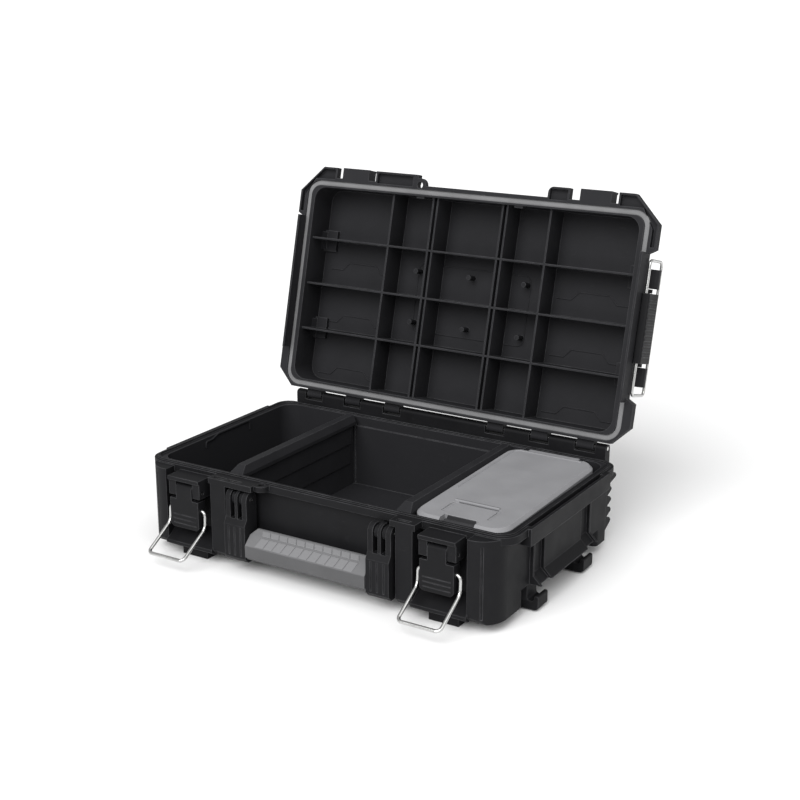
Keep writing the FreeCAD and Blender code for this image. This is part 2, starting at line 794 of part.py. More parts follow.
def make_handle():
    """Two slotted arms joined by a core bar, and the sleeve round the bar."""
    frame = new_body("handle_frame")
    arm_front = handle_y - S.arm_depth + S.arm_top
    arm_back = handle_y + S.arm_top
    top = S.handle_height + S.arm_top
    profile = [
        (arm_back, top, S.arm_top - 0.1),
        (handle_y - S.arm_top, top, S.arm_top - 0.1),
        (handle_y - S.arm_top, S.handle_height - S.arm_neck),
        (arm_front, S.handle_height - S.arm_neck - 8),
        (arm_front, S.arm_low + 6),
        (arm_front + 6, S.arm_low),
        (arm_back - 6, S.arm_low),
        (arm_back, S.arm_low + 6),
    ]
    half = S.arm_width / 2
    for side in (-1, 1):
        middle = side * S.handle_offset
        add(frame, "arm", "X", middle - half, middle + half, profile)
    slots = []
    for shift in (-1, 1):
        middle = S.handle_offset + shift * S.slot_shift
        slots += both(rectangle(middle - S.slot_width / 2, middle + S.slot_width / 2,
                                arm_front - 1, arm_back + 1))
    grip_front = -(tub_y + S.grip_front)
    inset = S.core_inset
    core = rectangle(grip_front + inset, grip_front + S.grip_depth - inset,
                     S.grip_low + inset + 2, S.grip_low + S.grip_face + 1)
    reach = S.handle_offset - half + 1
    add(frame, "core_bar", "X", -reach, reach, core)
    cut(frame, "slots", "Z", S.handle_height - S.slot_drop, top + 1, *slots)
    grooves = []
    for shift in (-1, 0, 1):
        middle = S.handle_offset + shift * S.arm_groove
        grooves += both(rectangle(middle - 0.9, middle + 0.9, arm_front - 1, arm_front + 1.2))
    cut(frame, "arm_grooves", "Z", S.arm_low + 9, S.handle_height - S.slot_drop - 9, *grooves)
    hole = circle(handle_y, S.handle_height, S.handle_pin_radius + S.pin_fit)
    for side in (-1, 1):
        low = side * S.handle_offset - half - 1
        cut(frame, "pin_bore", "X", low, low + S.arm_width + 2, hole)

    grip = new_body("handle_grip")
    back, high = grip_front + S.grip_depth, S.grip_low + S.grip_height
    section = [
        (grip_front, S.grip_low + 5),
        (grip_front + 5, S.grip_low),
        (back - 5, S.grip_low),
        (back, S.grip_low + 5),
        (back, high - 5),
        (back - 5, high),
        (grip_front + S.grip_bevel + S.grip_crown, high),
        (grip_front + S.grip_bevel, S.grip_low + S.grip_face + S.grip_bevel),
        (grip_front, S.grip_low + S.grip_face),
    ]
    length = S.handle_offset - half - S.end_gap
    add(grip, "sleeve", "X", -length, length, section)
    cut(grip, "tunnel", "X", -length - 1, length + 1, core)
    end = [
        (length + 1, high + 1),
        (length - S.grip_end_bevel, high + 1),
        (length + 1, high - S.grip_end_bevel),
    ]
    cut(grip, "end_bevel", "Y", grip_front - 1, back + 1, *both(end))

    pins = []
    for side in (-1, 1):
        low = side * S.handle_offset - half - 0.5
        pins.append(rod_along_x("handle_pin", low, S.arm_width + 1, handle_y, S.handle_height,
                                S.handle_pin_radius))
    return [frame, grip, group("handle_pins", pins)]


def make_latch(hand, side):
    """Over-centre lever with a tongue between the ears, and its wire bail."""
    middle = side * S.latch_offset
    lever = new_body(f"latch_lever_{hand}")
    half = S.lever_width / 2
    shoulder = S.lever_height - S.lever_shoulder
    paddle = [
        (lever_back, shoulder),
        (lever_back, S.lever_low + 20),
        (lever_back - 7, S.lever_low, 3),
        (lever_front, S.lever_low + 3, 3),
        (lever_front, shoulder),
    ]
    add(lever, "paddle", "X", middle - half, middle + half, paddle)
    tongue = [
        (lever_back, shoulder - 2),
        (lever_back, S.lever_height + S.tongue_top, S.tongue_top - 2.5),
        (lever_front, S.lever_height + S.tongue_top, S.tongue_top - 2.5),
        (lever_front, shoulder - 2),
    ]
    thin = S.tongue_width / 2
    add(lever, "tongue", "X", middle - thin, middle + thin, tongue)
    cut(lever, "pin_bore", "X", middle - thin - 1, middle + thin + 1,
        circle(lever_y, S.lever_height, S.latch_pin_radius + S.pin_fit))
    socket = circle(bail_y, bail_z, S.bail_radius + S.pin_fit)
    deep = S.stub_depth + 0.5
    cut(lever, "bail_socket", "X", middle + half - deep, middle + half + 1, socket)
    cut(lever, "bail_socket", "X", middle - half - 1, middle - half + deep, socket)
    corner = S.lever_corner
    low_corners = []
    for wing in (-1, 1):
        edge = middle + wing * half
        low_corners.append([
            (edge + wing, S.lever_low - 1),
            (edge + wing, S.lever_low + corner),
            (edge - wing * corner, S.lever_low - 1),
        ])
    cut(lever, "low_corners", "Y", lever_front - 1, lever_back + 1, *low_corners)
    for step in range(3):
        low = S.lever_low + 8 + 6 * step
        groove = [(lever_front - 1, low), (lever_front + 1.2, low + 1), (lever_front - 1, low + 2)]
        cut(lever, "finger_groove", "X", middle - half + 4, middle + half - 4, groove)

    stub = half - S.stub_depth
    kink = (bail_y - 1, bail_z - S.bail_kink)
    bar = (bail_y - S.bail_out, bail_z - S.bail_down)
    points, bends = [], []
    for wing in (-1, 1):
        arm = middle + wing * S.bail_half
        run = [(middle + wing * stub, bail_y, bail_z), (arm, bail_y, bail_z), (arm,) + kink, (arm,) + bar]
        points += run if wing < 0 else run[::-1]
    bends = [S.bail_bend, S.bail_kink_bend, S.bail_bend] * 2
    return [lever, bent_wire(f"latch_bail_{hand}", points, bends, S.bail_radius)]


def make_latch_pins():
    long = S.ear_width - 1
    pins = []
    for side in (-1, 1):
        low = side * S.latch_offset - long / 2
        pins.append(rod_along_x("latch_pin", low, long, lever_y, S.lever_height, S.latch_pin_radius))
    return group("latch_pins", pins)


def make_lid():
    """Shallow ribbed tray with a flange, catch tabs, side skirts and hinge knuckles."""
    lid = new_body("lid_shell")
    add(lid, "dome", "Z", flange_low, lid_top, rectangle(-lid_x, lid_x, -lid_y, lid_y, S.lid_corner))
    soften("Fillet", lid, "dome_edge", S.lid_top_round, level_at(lid_top))
    make_flange(lid)
    hollow = rectangle(-lid_x + S.wall, lid_x - S.wall, -lid_y + S.wall, lid_y - S.wall,
                       S.lid_corner - S.wall)
    cut(lid, "hollow", "Z", flange_low - 1, lid_inside, hollow)
    half = S.seal_width / 2
    groove_top = ridge_z + S.seal_gap + S.seal_thick
    cut(lid, "seal_groove", "Z", flange_low - 1, groove_top,
        rectangle(-seal_x - half, seal_x + half, -seal_y - half, seal_y + half, S.seal_corner + half),
        rectangle(-seal_x + half, seal_x - half, -seal_y + half, seal_y - half, S.seal_corner - half))
    make_lid_pockets(lid)
    make_lid_ribs(lid)
    make_lid_sides(lid)
    make_lid_knuckles(lid)
    lid.Placement = lid_placement

    gasket = new_body("lid_gasket")
    add(gasket, "cord", "Z", ridge_z + S.seal_gap, groove_top,
        rectangle(-seal_x - half, seal_x + half, -seal_y - half, seal_y + half, S.seal_corner + half),
        rectangle(-seal_x + half, seal_x - half, -seal_y + half, seal_y - half, S.seal_corner - half))
    gasket.Placement = lid_placement
    return [lid, gasket]


def make_flange(lid):
    """Flange round the seal, with notches for the bails and a padlock eye."""
    out_x = tub_x + S.flange_side
    front = -(tub_y + S.flange_front)
    back = tub_y + S.flange_back
    tab_y = front_y
    chamfer = S.flange_chamfer
    plate = [
        (S.latch_offset + S.tab_half + 10, front),
        (S.latch_offset + S.tab_half + 10, tab_y),
        (out_x - chamfer, tab_y),
        (out_x, tab_y + chamfer),
        (out_x, -S.bay_front),
        (bay_x, -S.bay_front + 6),
        (bay_x, S.bay_back - 6),
        (out_x, S.bay_back),
        (out_x, back - chamfer + 12),
        (out_x - chamfer + 12, back),
    ]
    outline = [(-x, y) for x, y in plate][::-1] + plate
    add(lid, "flange", "Z", flange_low, flange_top, outline[::-1])
    side_tab = [
        (S.pillar_inner - 8, front + 1),
        (S.pillar_inner - 8, tab_y, 8),
        (S.latch_offset - S.tab_half - 15, tab_y),
        (S.latch_offset - S.tab_half - 15, front + 1),
    ]
    eye_y = -(tub_y + S.eye_reach) + S.eye_radius
    long_tab = [
        (-S.latch_offset + S.tab_half + 12, front + 1),
        (-S.latch_offset + S.tab_half + 12, tab_y),
        (-S.eye_place - 4, tab_y),
        (-S.eye_place - 4, front + 1),
    ]
    eye = [
        (-S.eye_place - S.eye_radius, front + 1),
        (-S.eye_place - S.eye_radius, eye_y - S.eye_radius, S.eye_radius - 0.1),
        (-S.eye_place + S.eye_radius, eye_y - S.eye_radius, S.eye_radius - 0.1),
        (-S.eye_place + S.eye_radius, front + 1),
    ]
    add(lid, "right_tab", "Z", flange_low, flange_top, side_tab)
    add(lid, "left_tab", "Z", flange_low, flange_top, long_tab)
    add(lid, "lid_eye", "Z", flange_low, flange_low + S.eye_thick, eye)
    cut(lid, "lid_eye_hole", "Z", flange_low - 1, flange_top + 1, circle(-S.eye_place, eye_y, S.eye_hole))
    catch_top = flange_top + S.tab_rise
    catch = [
        (-lid_y + 1, flange_low),
        (-(tub_y + S.tab_reach), flange_low),
        (-(tub_y + S.tab_reach), catch_top + S.tab_lip),
        (-(tub_y + S.tab_reach) + S.tab_lip, catch_top + S.tab_lip),
        (-(tub_y + S.tab_reach) + S.tab_lip, catch_top),
        (-(tub_y + S.flange_front), catch_top),
        (-lid_y + 1, catch_top + 6),
    ]
    for side in (-1, 1):
        middle = side * S.latch_offset
        add(lid, "catch_tab", "X", middle - S.tab_half, middle + S.tab_half, catch)
    skirt = rectangle(skirt_low_x, bay_x, -S.bay_front + 4, S.bay_back - 1)
    add(lid, "skirts", "Z", flange_low - S.skirt_drop, flange_low + 1, *both(skirt))


def make_lid_pockets(lid):
    """Hollows under the front tabs and corners, clips, and nests for the hooks of a case on top."""
    lip = S.pocket_lip
    tab_front = front_y + lip
    tab_back = -(seal_y + S.seal_width / 2 + lip)
    out_x = tub_x + S.flange_side - lip
    chamfer = S.flange_chamfer
    corner = [
        (S.latch_offset + S.tab_half + 10 + lip, tab_back),
        (S.latch_offset + S.tab_half + 10 + lip, tab_front),
        (out_x - chamfer + lip, tab_front),
        (out_x, tab_front + chamfer - lip),
        (out_x, -S.bay_front - lip),
        (out_x - 6, -S.bay_front - lip),
        (out_x - 6, tab_front + chamfer + 4),
        (seal_x - 8, tab_back),
    ]
    right_tab = rectangle(S.pillar_inner - 8 + lip, S.latch_offset - S.tab_half - 15 - lip, tab_front, tab_back)
    left_tab = rectangle(-S.latch_offset + S.tab_half + 12 + lip, -S.eye_place - S.eye_radius - lip,
                         tab_front, tab_back)
    cut(lid, "flange_pockets", "Z", flange_low - 1, flange_low + S.pocket_depth,
        *both(corner), right_tab, left_tab)
    wall_y = -lid_y + S.wall
    half = S.clip_width / 2
    clip = rectangle(S.clip_place - half, S.clip_place + half, wall_y - 0.5, wall_y + 3)
    add(lid, "clips", "Z", flange_low + 2, flange_low + 11, *both(clip))
    thick = S.nest_wall
    bumps, nests = [], []
    for low in (S.hook_offset - S.hook_width / 2, -S.hook_offset - S.hook_width / 2):
        high = low + S.hook_width
        bumps += both(rectangle(lid_x - 24, lid_x - S.wall + 0.5, low - thick, high + thick))
        nests += both(rectangle(lid_x - 24 + thick, lid_x - 5, low, high))
    add(lid, "nest_bumps", "Z", lid_inside - S.nest_depth, lid_inside + 0.5, *bumps)
    cut(lid, "hook_nests", "Z", lid_top - S.nest_depth, lid_top + 1, *nests)


def make_lid_ribs(lid):
    """Grid of ribs and pegs inside the lid."""
    low = flange_low + S.rib_clear
    end_y, end_x = lid_y - S.wall + 0.5, lid_x - S.wall + 0.5
    thick = S.rib_thick / 2
    lengthwise = []
    for x in (S.rib_outer, S.rib_inner - S.rib_gap / 2 - thick, S.rib_inner + S.rib_gap / 2 + thick):
        lengthwise += both(rectangle(x - thick, x + thick, -end_y, end_y))
    add(lid, "ribs_lengthwise", "Z", low, lid_inside + 0.5, *lengthwise)
    across = [rectangle(-end_x, end_x, y - thick, y + thick) for y in (-S.rib_row, dim(0), S.rib_row)]
    add(lid, "ribs_across", "Z", low, lid_inside + 0.5, *across)
    pegs = []
    for y in (-S.peg_row, S.peg_row):
        pegs.append(circle(0, y, S.peg_radius))
        pegs += both(circle(S.peg_column, y, S.peg_radius))
    add(lid, "pegs", "Z", lid_inside - S.peg_length, lid_inside + 0.5, *pegs)


def make_lid_sides(lid):
    """Ears for the side levers' pins and lugs that the stowed bails lie on."""
    ear_low = S.stack_half + S.stack_play
    top = stack_z + S.stack_hub
    ear = [
        (lid_x - S.wall, stack_z - 12),
        (stack_x + S.stack_hub, stack_z - S.stack_hub, S.stack_hub - 0.1),
        (stack_x + S.stack_hub, top, S.stack_hub - 0.1),
        (lid_x - S.wall, top),
    ]
    lug_top = wire_z + S.wire_rise - S.stack_wire - 0.3
    lug = [
        (lid_x - S.wall, lug_top - S.lug_thick - 8),
        (lid_x + S.lug_out - 3, lug_top - S.lug_thick),
        (lid_x + S.lug_out, lug_top - S.lug_thick + 3),
        (lid_x + S.lug_out, lug_top),
        (lid_x - S.lid_top_round, lug_top),
    ]
    hook_in = S.hook_offset - S.hook_width / 2
    for side in (-1, 1):
        low = ear_low if side > 0 else -ear_low - S.stack_ear
        add(lid, "lever_ear", "Y", low, low + S.stack_ear, *both(ear))
        low = hook_in if side > 0 else -hook_in - S.hook_width
        add(lid, "stow_lug", "Y", low, low + S.hook_width, *both(lug))
    reach = ear_low + S.stack_ear + 1
    cut(lid, "lever_bore", "Y", -reach, reach,
        *both(circle(stack_x, stack_z, S.stack_pin_radius)))


def make_lid_knuckles(lid):
    """Barrels round the hinge rod, each on an arm from the back of the lid."""
    arm = [
        (lid_y - 1, hinge_z - S.knuckle_radius),
        (hinge_y + S.knuckle_radius, hinge_z - S.knuckle_radius, S.knuckle_radius - 0.1),
        (hinge_y + S.knuckle_radius, hinge_z + S.knuckle_radius, S.knuckle_radius - 0.1),
        (lid_y - 1, hinge_z + S.knuckle_radius),
    ]
    half = S.knuckle_width / 2
    for middle in knuckles:
        for side in (-1, 1):
            add(lid, "knuckle", "X", side * middle - half, side * middle + half, arm)
    cut(lid, "knuckle_bore", "X", -tub_x, tub_x, circle(hinge_y, hinge_z, S.rod_radius + S.pin_fit))


def make_stack_latch(hand, side):
    """Wide ribbed lever on the lid's side and the wire bail that runs through it."""
    lever = new_body(f"stack_lever_{hand}")
    face_in = wire_x + S.stack_wire + 0.8
    face_out = face_in + S.stack_grip
    low = flange_low + S.stack_low
    hub = S.stack_hub
    profile = [
        (stack_x - hub, stack_z + hub, hub - 0.1),
        (stack_x + hub, stack_z + hub, hub - 0.1),
        (face_out, stack_z - 8, 4),
        (face_out, low, 2),
        (wire_x - S.stack_wire - 0.7, low, 2),
        (wire_x - S.stack_wire - 0.7, wire_z + 5),
        (face_in, wire_z + 9),
        (face_in - 2, stack_z - 9),
        (stack_x - hub, stack_z - hub, hub - 0.1),
    ]
    loops = [profile] if side > 0 else [mirrored(profile)]
    add(lever, "plate", "Y", -S.stack_half, S.stack_half, *loops)
    pin = circle(side * stack_x, stack_z, S.stack_pin_radius + S.pin_fit)
    wire = circle(side * wire_x, wire_z, S.stack_wire + S.pin_fit)
    cut(lever, "bores", "Y", -S.stack_half - 1, S.stack_half + 1, pin, wire)
    rib_half = S.grip_rib / 2
    ribs = []
    for step in range(-5, 6):
        y = S.grip_rib_pitch * step
        ends = sorted((side * (face_out - 1), side * (face_out + 1.2)), key=float)
        ribs.append(rectangle(ends[0], ends[1], y - rib_half, y + rib_half))
    add(lever, "grip_ribs", "Z", low + 3, stack_z - 13, *ribs)
    lever.Placement = lid_placement

    top = wire_z + S.wire_rise
    corner = side * wire_x
    points = [
        (corner, 0, wire_z),
        (corner, S.wire_half, wire_z),
        (corner, S.wire_half, top),
        (corner, -S.wire_half, top),
        (corner, -S.wire_half, wire_z),
        (corner, -0.5, wire_z),
    ]
    bail = bent_wire(f"stack_bail_{hand}", points, [S.wire_bend] * 4, S.stack_wire)
    bail.Placement = lid_placement
    return [lever, bail]


def make_stack_pins():
    """The two pins of the side levers, drawn shut and swung open with the lid."""
    long = 2 * (S.stack_half + S.stack_play + S.stack_ear)
    pins = []
    for side in (-1, 1):
        pin = doc.addObject("Part::Cylinder", "stack_pin")
        bind(pin, "Radius", S.stack_pin_radius)
        bind(pin, "Height", long)
        turn = FreeCAD.Rotation(FreeCAD.Vector(1, 0, 0), -90)
        pin.Placement = FreeCAD.Placement(FreeCAD.Vector(), turn)
        for letter, value in zip("xyz", (side * stack_x, -long / 2, stack_z)):
            bind(pin, f"Placement.Base.{letter}", value)
        pins.append(pin)
    node = group("stack_pins", pins)
    node.Placement = lid_placement
    return node


def make_divider(hand):
    """Upright partition with a stiffened plate and a bevelled cap that slopes at the front."""
    divider = new_body(f"divider_{hand}")
    middle = divider_places[hand]
    half = S.divider_thick / 2
    cap_low = S.divider_top - S.cap_bevel - S.cap_skirt
    end = inner_y - S.divider_play
    plate = rectangle(middle - half, middle + half, -end, end)
    add(divider, "plate", "Z", floor_z, cap_low + 1, plate)
    right_side = [
        (half, floor_z + 32),
        (half + 2, floor_z + 34),
        (half + 2, floor_z + 62),
        (half + 4, floor_z + 64),
        (half + 4, cap_low + 1),
    ]
    stiffener = [(middle + x, z) for x, z in right_side] + [(middle - x, z) for x, z in right_side[::-1]]
    add(divider, "stiffener", "Y", -S.stiffener_reach, S.stiffener_reach, stiffener)
    wide, flat = S.cap_width / 2, S.cap_flat / 2
    cap = [
        (middle - wide, cap_low),
        (middle + wide, cap_low),
        (middle + wide, cap_low + S.cap_skirt),
        (middle + flat, S.divider_top),
        (middle - flat, S.divider_top),
        (middle - wide, cap_low + S.cap_skirt),
    ]
    reach = inner_y - S.cap_end_gap
    add(divider, "cap", "Y", -reach, reach, cap)
    slope = [
        (-reach - 1, S.divider_top + 1),
        (-reach + S.cap_slope, S.divider_top + 1),
        (-reach - 1, cap_low + 2),
    ]
    cut(divider, "front_slope", "X", middle - wide - 1, middle + wide + 1, slope)
    return divider


def bin_outline(grow):
    """Plan of the organiser's bin, grown or shrunk all round."""
    grow = dim(grow)
    return rectangle(bin_left - grow, bin_right + grow, -bin_y - grow, bin_back + grow, S.bin_corner + grow)


def make_organiser():
    """Lift-out bin, its lid, the latch on the lid and their pins."""
    tray = new_body("organiser_bin")
    add(tray, "block", "Z", floor_z, bin_top, bin_outline(0))
    slope = S.side_bevel - S.wall * (2 - math.sqrt(2))
    bevel_x = inner_x - slope - 2
    under = [
        (bevel_x - 1, floor_z - 1),
        (bin_right + 1, floor_z - 1),
        (bin_right + 1, floor_z + bin_right - bevel_x + 1),
    ]
    cut(tray, "underside", "Y", -bin_y - 1, bin_back + 1, under)
    cut(tray, "upper_hollow", "Z", floor_z + slope + 2, bin_top + 1, bin_outline(-S.bin_wall))
    thick = S.bin_wall
    lower = [
        (bin_left + thick, floor_z + slope + 2.5),
        (bin_left + thick, floor_z + thick),
        (bevel_x - thick - 1, floor_z + thick),
        (bin_right - thick - 1, floor_z + slope + 2.5),
    ]
    cut(tray, "lower_hollow", "Y", -bin_y + S.bin_corner, bin_back - S.bin_corner, lower)
    lug = [
        (bin_back - S.bin_wall, bin_top - 12),
        (bin_back, bin_top - 12),
        (bin_hinge_y + S.bin_hub, bin_hinge_z - S.bin_hub, S.bin_hub - 0.1),
        (bin_hinge_y + S.bin_hub, bin_hinge_z + S.bin_hub, S.bin_hub - 0.1),
        (bin_hinge_y - S.bin_hub, bin_hinge_z + S.bin_hub, S.bin_hub - 0.5),
        (bin_back - S.bin_wall, bin_top),
    ]
    bore = circle(bin_hinge_y, bin_hinge_z, S.bin_pin_radius)
    for side in (-1, 1):
        near = bin_mid + S.bin_hinge_half if side > 0 else bin_mid - S.bin_hinge_half - S.bin_lug
        add(tray, "hinge_lug", "X", near, near + S.bin_lug, lug)
        cut(tray, "hinge_bore", "X", near - 1, near + S.bin_lug + 1, bore)

    cover = new_body("organiser_lid")
    front, back = bin_lid_front, bin_hinge_y
    rear_top = bin_lid_top + S.bin_lid_rise
    plan = rectangle(bin_left - S.bin_lid_left, bin_right + S.bin_lid_right, front, back, S.bin_lid_corner)
    add(cover, "slab", "Z", bin_lid_low, rear_top + 1, plan)
    above = [(front, bin_lid_top), (back, rear_top), (back, rear_top + 2), (front, rear_top + 2)]
    cut(cover, "sloping_top", "X", bin_left - 10, bin_right + 10, above)
    soften("Chamfer", cover, "top_bevel", S.bin_lid_bevel, on_slope(front, bin_lid_top, back, rear_top))
    cut(cover, "underside", "Z", bin_lid_low - 1, bin_lid_top - S.bin_lid_bevel - S.bin_lid_skin + 2,
        bin_outline(-S.bin_lid_skin))
    half = S.notch_width / 2
    notch = rectangle(bin_mid - half, bin_mid + half, front - 1, front + S.notch_depth)
    cut(cover, "latch_notch", "Z", bin_lid_low - 1, bin_lid_top + 1, notch)
    gaps = []
    for side in (-1, 1):
        near = bin_mid + S.bin_hinge_half if side > 0 else bin_mid - S.bin_hinge_half - S.bin_lug
        gaps.append(rectangle(near - 0.6, near + S.bin_lug + 0.6, back - S.bin_hub - 1.5, back + 1))
    cut(cover, "lug_gaps", "Z", bin_lid_low - 1, rear_top + 1, *gaps)
    barrel = [
        (back - S.bin_lid_bevel - 2, bin_hinge_z - S.bin_hub),
        (bin_hinge_y + S.bin_hub, bin_hinge_z - S.bin_hub, S.bin_hub - 0.1),
        (bin_hinge_y + S.bin_hub, bin_hinge_z + S.bin_hub, S.bin_hub - 0.1),
        (back - S.bin_lid_bevel - 2, bin_hinge_z + S.bin_hub),
    ]
    reach = S.bin_hinge_half - 0.6
    add(cover, "barrel", "X", bin_mid - reach, bin_mid + reach, barrel)
    cut(cover, "barrel_bore", "X", bin_mid - reach - 1, bin_mid + reach + 1,
        circle(bin_hinge_y, bin_hinge_z, S.bin_pin_radius + S.pin_fit))
    cheek = [
        (bin_mid - half - 5, front + 1),
        (bin_mid - half, front + 1),
        (bin_mid - half, front + S.notch_depth),
        (bin_mid + half, front + S.notch_depth),
        (bin_mid + half, front + 1),
        (bin_mid + half + 5, front + 1),
        (bin_mid + half + 5, front + S.notch_depth + 3),
        (bin_mid - half - 5, front + S.notch_depth + 3),
    ]
    add(cover, "latch_cheeks", "Z", bin_lid_low, bin_lid_top - S.bin_lid_bevel, cheek)
    latch_hole = circle(bin_latch_y, bin_latch_z, S.bin_pin_radius)
    over = S.notch_width / 2 + 2
    cut(cover, "latch_pin_bore", "X", bin_mid - over, bin_mid + over, latch_hole)
    make_emboss(cover, front)

    catch = new_body("organiser_latch")
    hub, reach, drop = S.bin_latch_hub, S.bin_latch_reach, S.bin_latch_drop
    thick = S.bin_latch_thick
    half = S.bin_latch_width / 2
    shape = [
        (bin_latch_y + hub, bin_latch_z + hub, hub - 0.1),
        (bin_latch_y - hub, bin_latch_z + hub),
        (bin_latch_y - reach, bin_latch_z - drop + 8),
        (bin_latch_y - reach, bin_latch_z - drop),
        (bin_latch_y - reach + thick, bin_latch_z - drop),
        (bin_latch_y - reach + thick, bin_latch_z - drop + 6.5),
        (bin_latch_y, bin_latch_z - hub, hub - 0.5),
        (bin_latch_y + hub, bin_latch_z - hub, hub - 0.5),
    ]
    add(catch, "tab", "X", bin_mid - half, bin_mid + half, shape)
    cut(catch, "bore", "X", bin_mid - half - 1, bin_mid + half + 1,
        circle(bin_latch_y, bin_latch_z, S.bin_pin_radius + S.pin_fit))

    hinge_long = 2 * (S.bin_hinge_half + S.bin_lug)
    hinge_pin = rod_along_x("organiser_hinge_pin", bin_mid - hinge_long / 2, hinge_long,
                            bin_hinge_y, bin_hinge_z, S.bin_pin_radius)
    latch_long = S.notch_width + 4
    latch_pin = rod_along_x("organiser_latch_pin", bin_mid - latch_long / 2, latch_long,
                            bin_latch_y, bin_latch_z, S.bin_pin_radius)
    return [tray, cover, catch, hinge_pin, latch_pin]


def make_emboss(cover, front):
    """Shallow U-shaped groove on the lid behind the latch."""
    near = front + S.notch_depth + 8
    far = near + 34
    half = S.notch_width / 2 + 10
    width = S.emboss_width
    track = [
        (bin_mid - half, near),
        (bin_mid - half, far, width + 5),
        (bin_mid + half, far, width + 5),
        (bin_mid + half, near),
        (bin_mid + half - width, near),
        (bin_mid + half - width, far - width, 5),
        (bin_mid - half + width, far - width, 5),
        (bin_mid - half + width, near),
    ]
    surface = bin_lid_top + S.bin_lid_rise * 0.15
    cut(cover, "emboss", "Z", surface - S.emboss_depth, bin_lid_top + S.bin_lid_rise, track)


nodes = [make_base()]
nodes.append(make_bumper("rear_bumper_left", -1))
nodes.append(make_bumper("rear_bumper_right", 1))
hinge_rod = rod_along_x("hinge_rod", -S.rod_length / 2, S.rod_length, hinge_y, hinge_z, S.rod_radius)
nodes.append(hinge_rod)
nodes += make_handle()
for hand, side in (("left", -1), ("right", 1)):
    nodes += make_latch(hand, side)
    nodes += make_stack_latch(hand, side)
    nodes.append(make_divider(hand))
nodes.append(make_latch_pins())
nodes += make_lid()
nodes.append(make_stack_pins())
nodes += make_organiser()
doc.recompute()

faults = []
for thing in doc.Objects:
    if "Invalid" in thing.State or "Error" in thing.State:
        faults.append(f"{thing.Label}: {thing.State}")
for node in nodes:
    if node.Shape.isNull() or not node.Shape.isValid():
        faults.append(f"{node.Label}: shape is missing or not valid")
if faults:
    raise RuntimeError("; ".join(faults))

os.makedirs("parts", exist_ok=True)
for node in nodes:
    node.Shape.exportStep(f"parts/{node.Label}.step")
    solids = len(node.Shape.Solids)
    print(f"{node.Label}: {solids} solids, {node.Shape.Volume / 1000:.1f} cm3")
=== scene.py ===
import math

import bpy
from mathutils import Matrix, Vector


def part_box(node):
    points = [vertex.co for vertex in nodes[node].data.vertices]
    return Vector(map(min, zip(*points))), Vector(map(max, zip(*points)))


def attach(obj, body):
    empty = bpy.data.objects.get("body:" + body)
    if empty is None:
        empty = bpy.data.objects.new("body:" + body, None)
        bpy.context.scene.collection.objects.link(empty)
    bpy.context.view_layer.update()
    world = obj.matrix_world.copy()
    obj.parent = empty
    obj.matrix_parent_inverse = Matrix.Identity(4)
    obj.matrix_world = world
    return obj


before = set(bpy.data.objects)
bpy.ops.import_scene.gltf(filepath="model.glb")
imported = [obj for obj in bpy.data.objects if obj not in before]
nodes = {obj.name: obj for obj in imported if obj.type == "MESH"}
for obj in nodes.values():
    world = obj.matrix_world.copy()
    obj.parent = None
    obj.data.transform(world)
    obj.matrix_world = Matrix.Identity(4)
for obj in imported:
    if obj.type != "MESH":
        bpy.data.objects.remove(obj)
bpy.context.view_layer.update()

scene = bpy.context.scene
print("frame loaded:", len(nodes), "nodes")


# node tree helpers

def newNode(tree, kind, **settings):
    made = tree.nodes.new(kind)
    for name, value in settings.items():
        setattr(made, name, value)
    return made


def setInputs(node, **values):
    for name, value in values.items():
        node.inputs[name.replace("_", " ")].default_value = value


def mathNode(tree, operation, first, second=0.5):
    made = newNode(tree, "ShaderNodeMath", operation=operation)
    for socket, value in zip(made.inputs, (first, second)):
        if isinstance(value, (int, float)):
            socket.default_value = value
        else:
            tree.links.new(value, socket)
    return made.outputs[0]


def ramp(tree, source, low, high, toLow=0.0, toHigh=1.0):
    made = newNode(tree, "ShaderNodeMapRange")
    made.clamp = True
    tree.links.new(source, made.inputs["Value"])
    for name, value in (("From Min", low), ("From Max", high), ("To Min", toLow), ("To Max", toHigh)):
        made.inputs[name].default_value = value
    return made.outputs["Result"]


# shader groups shared by the plastics and rubbers

def newGroup(name, inputs, outputs):
    tree = bpy.data.node_groups.new(name, "ShaderNodeTree")
    for label, kind in inputs:
        tree.interface.new_socket(label, in_out="INPUT", socket_type=kind)
    for label, kind in outputs:
        tree.interface.new_socket(label, in_out="OUTPUT", socket_type=kind)
    return tree, newNode(tree, "NodeGroupInput"), newNode(tree, "NodeGroupOutput")


def noiseAt(tree, coords, scale, detail=3.0, roughness=0.55):
    made = newNode(tree, "ShaderNodeTexNoise")
    tree.links.new(coords, made.inputs["Vector"])
    setInputs(made, Scale=scale, Detail=detail, Roughness=roughness)
    return made.outputs["Fac"]


grainSize = {"gritScale": 2600.0, "gritDetail": 2.0, "mottleScale": 26.0, "mottleDetail": 4.0}


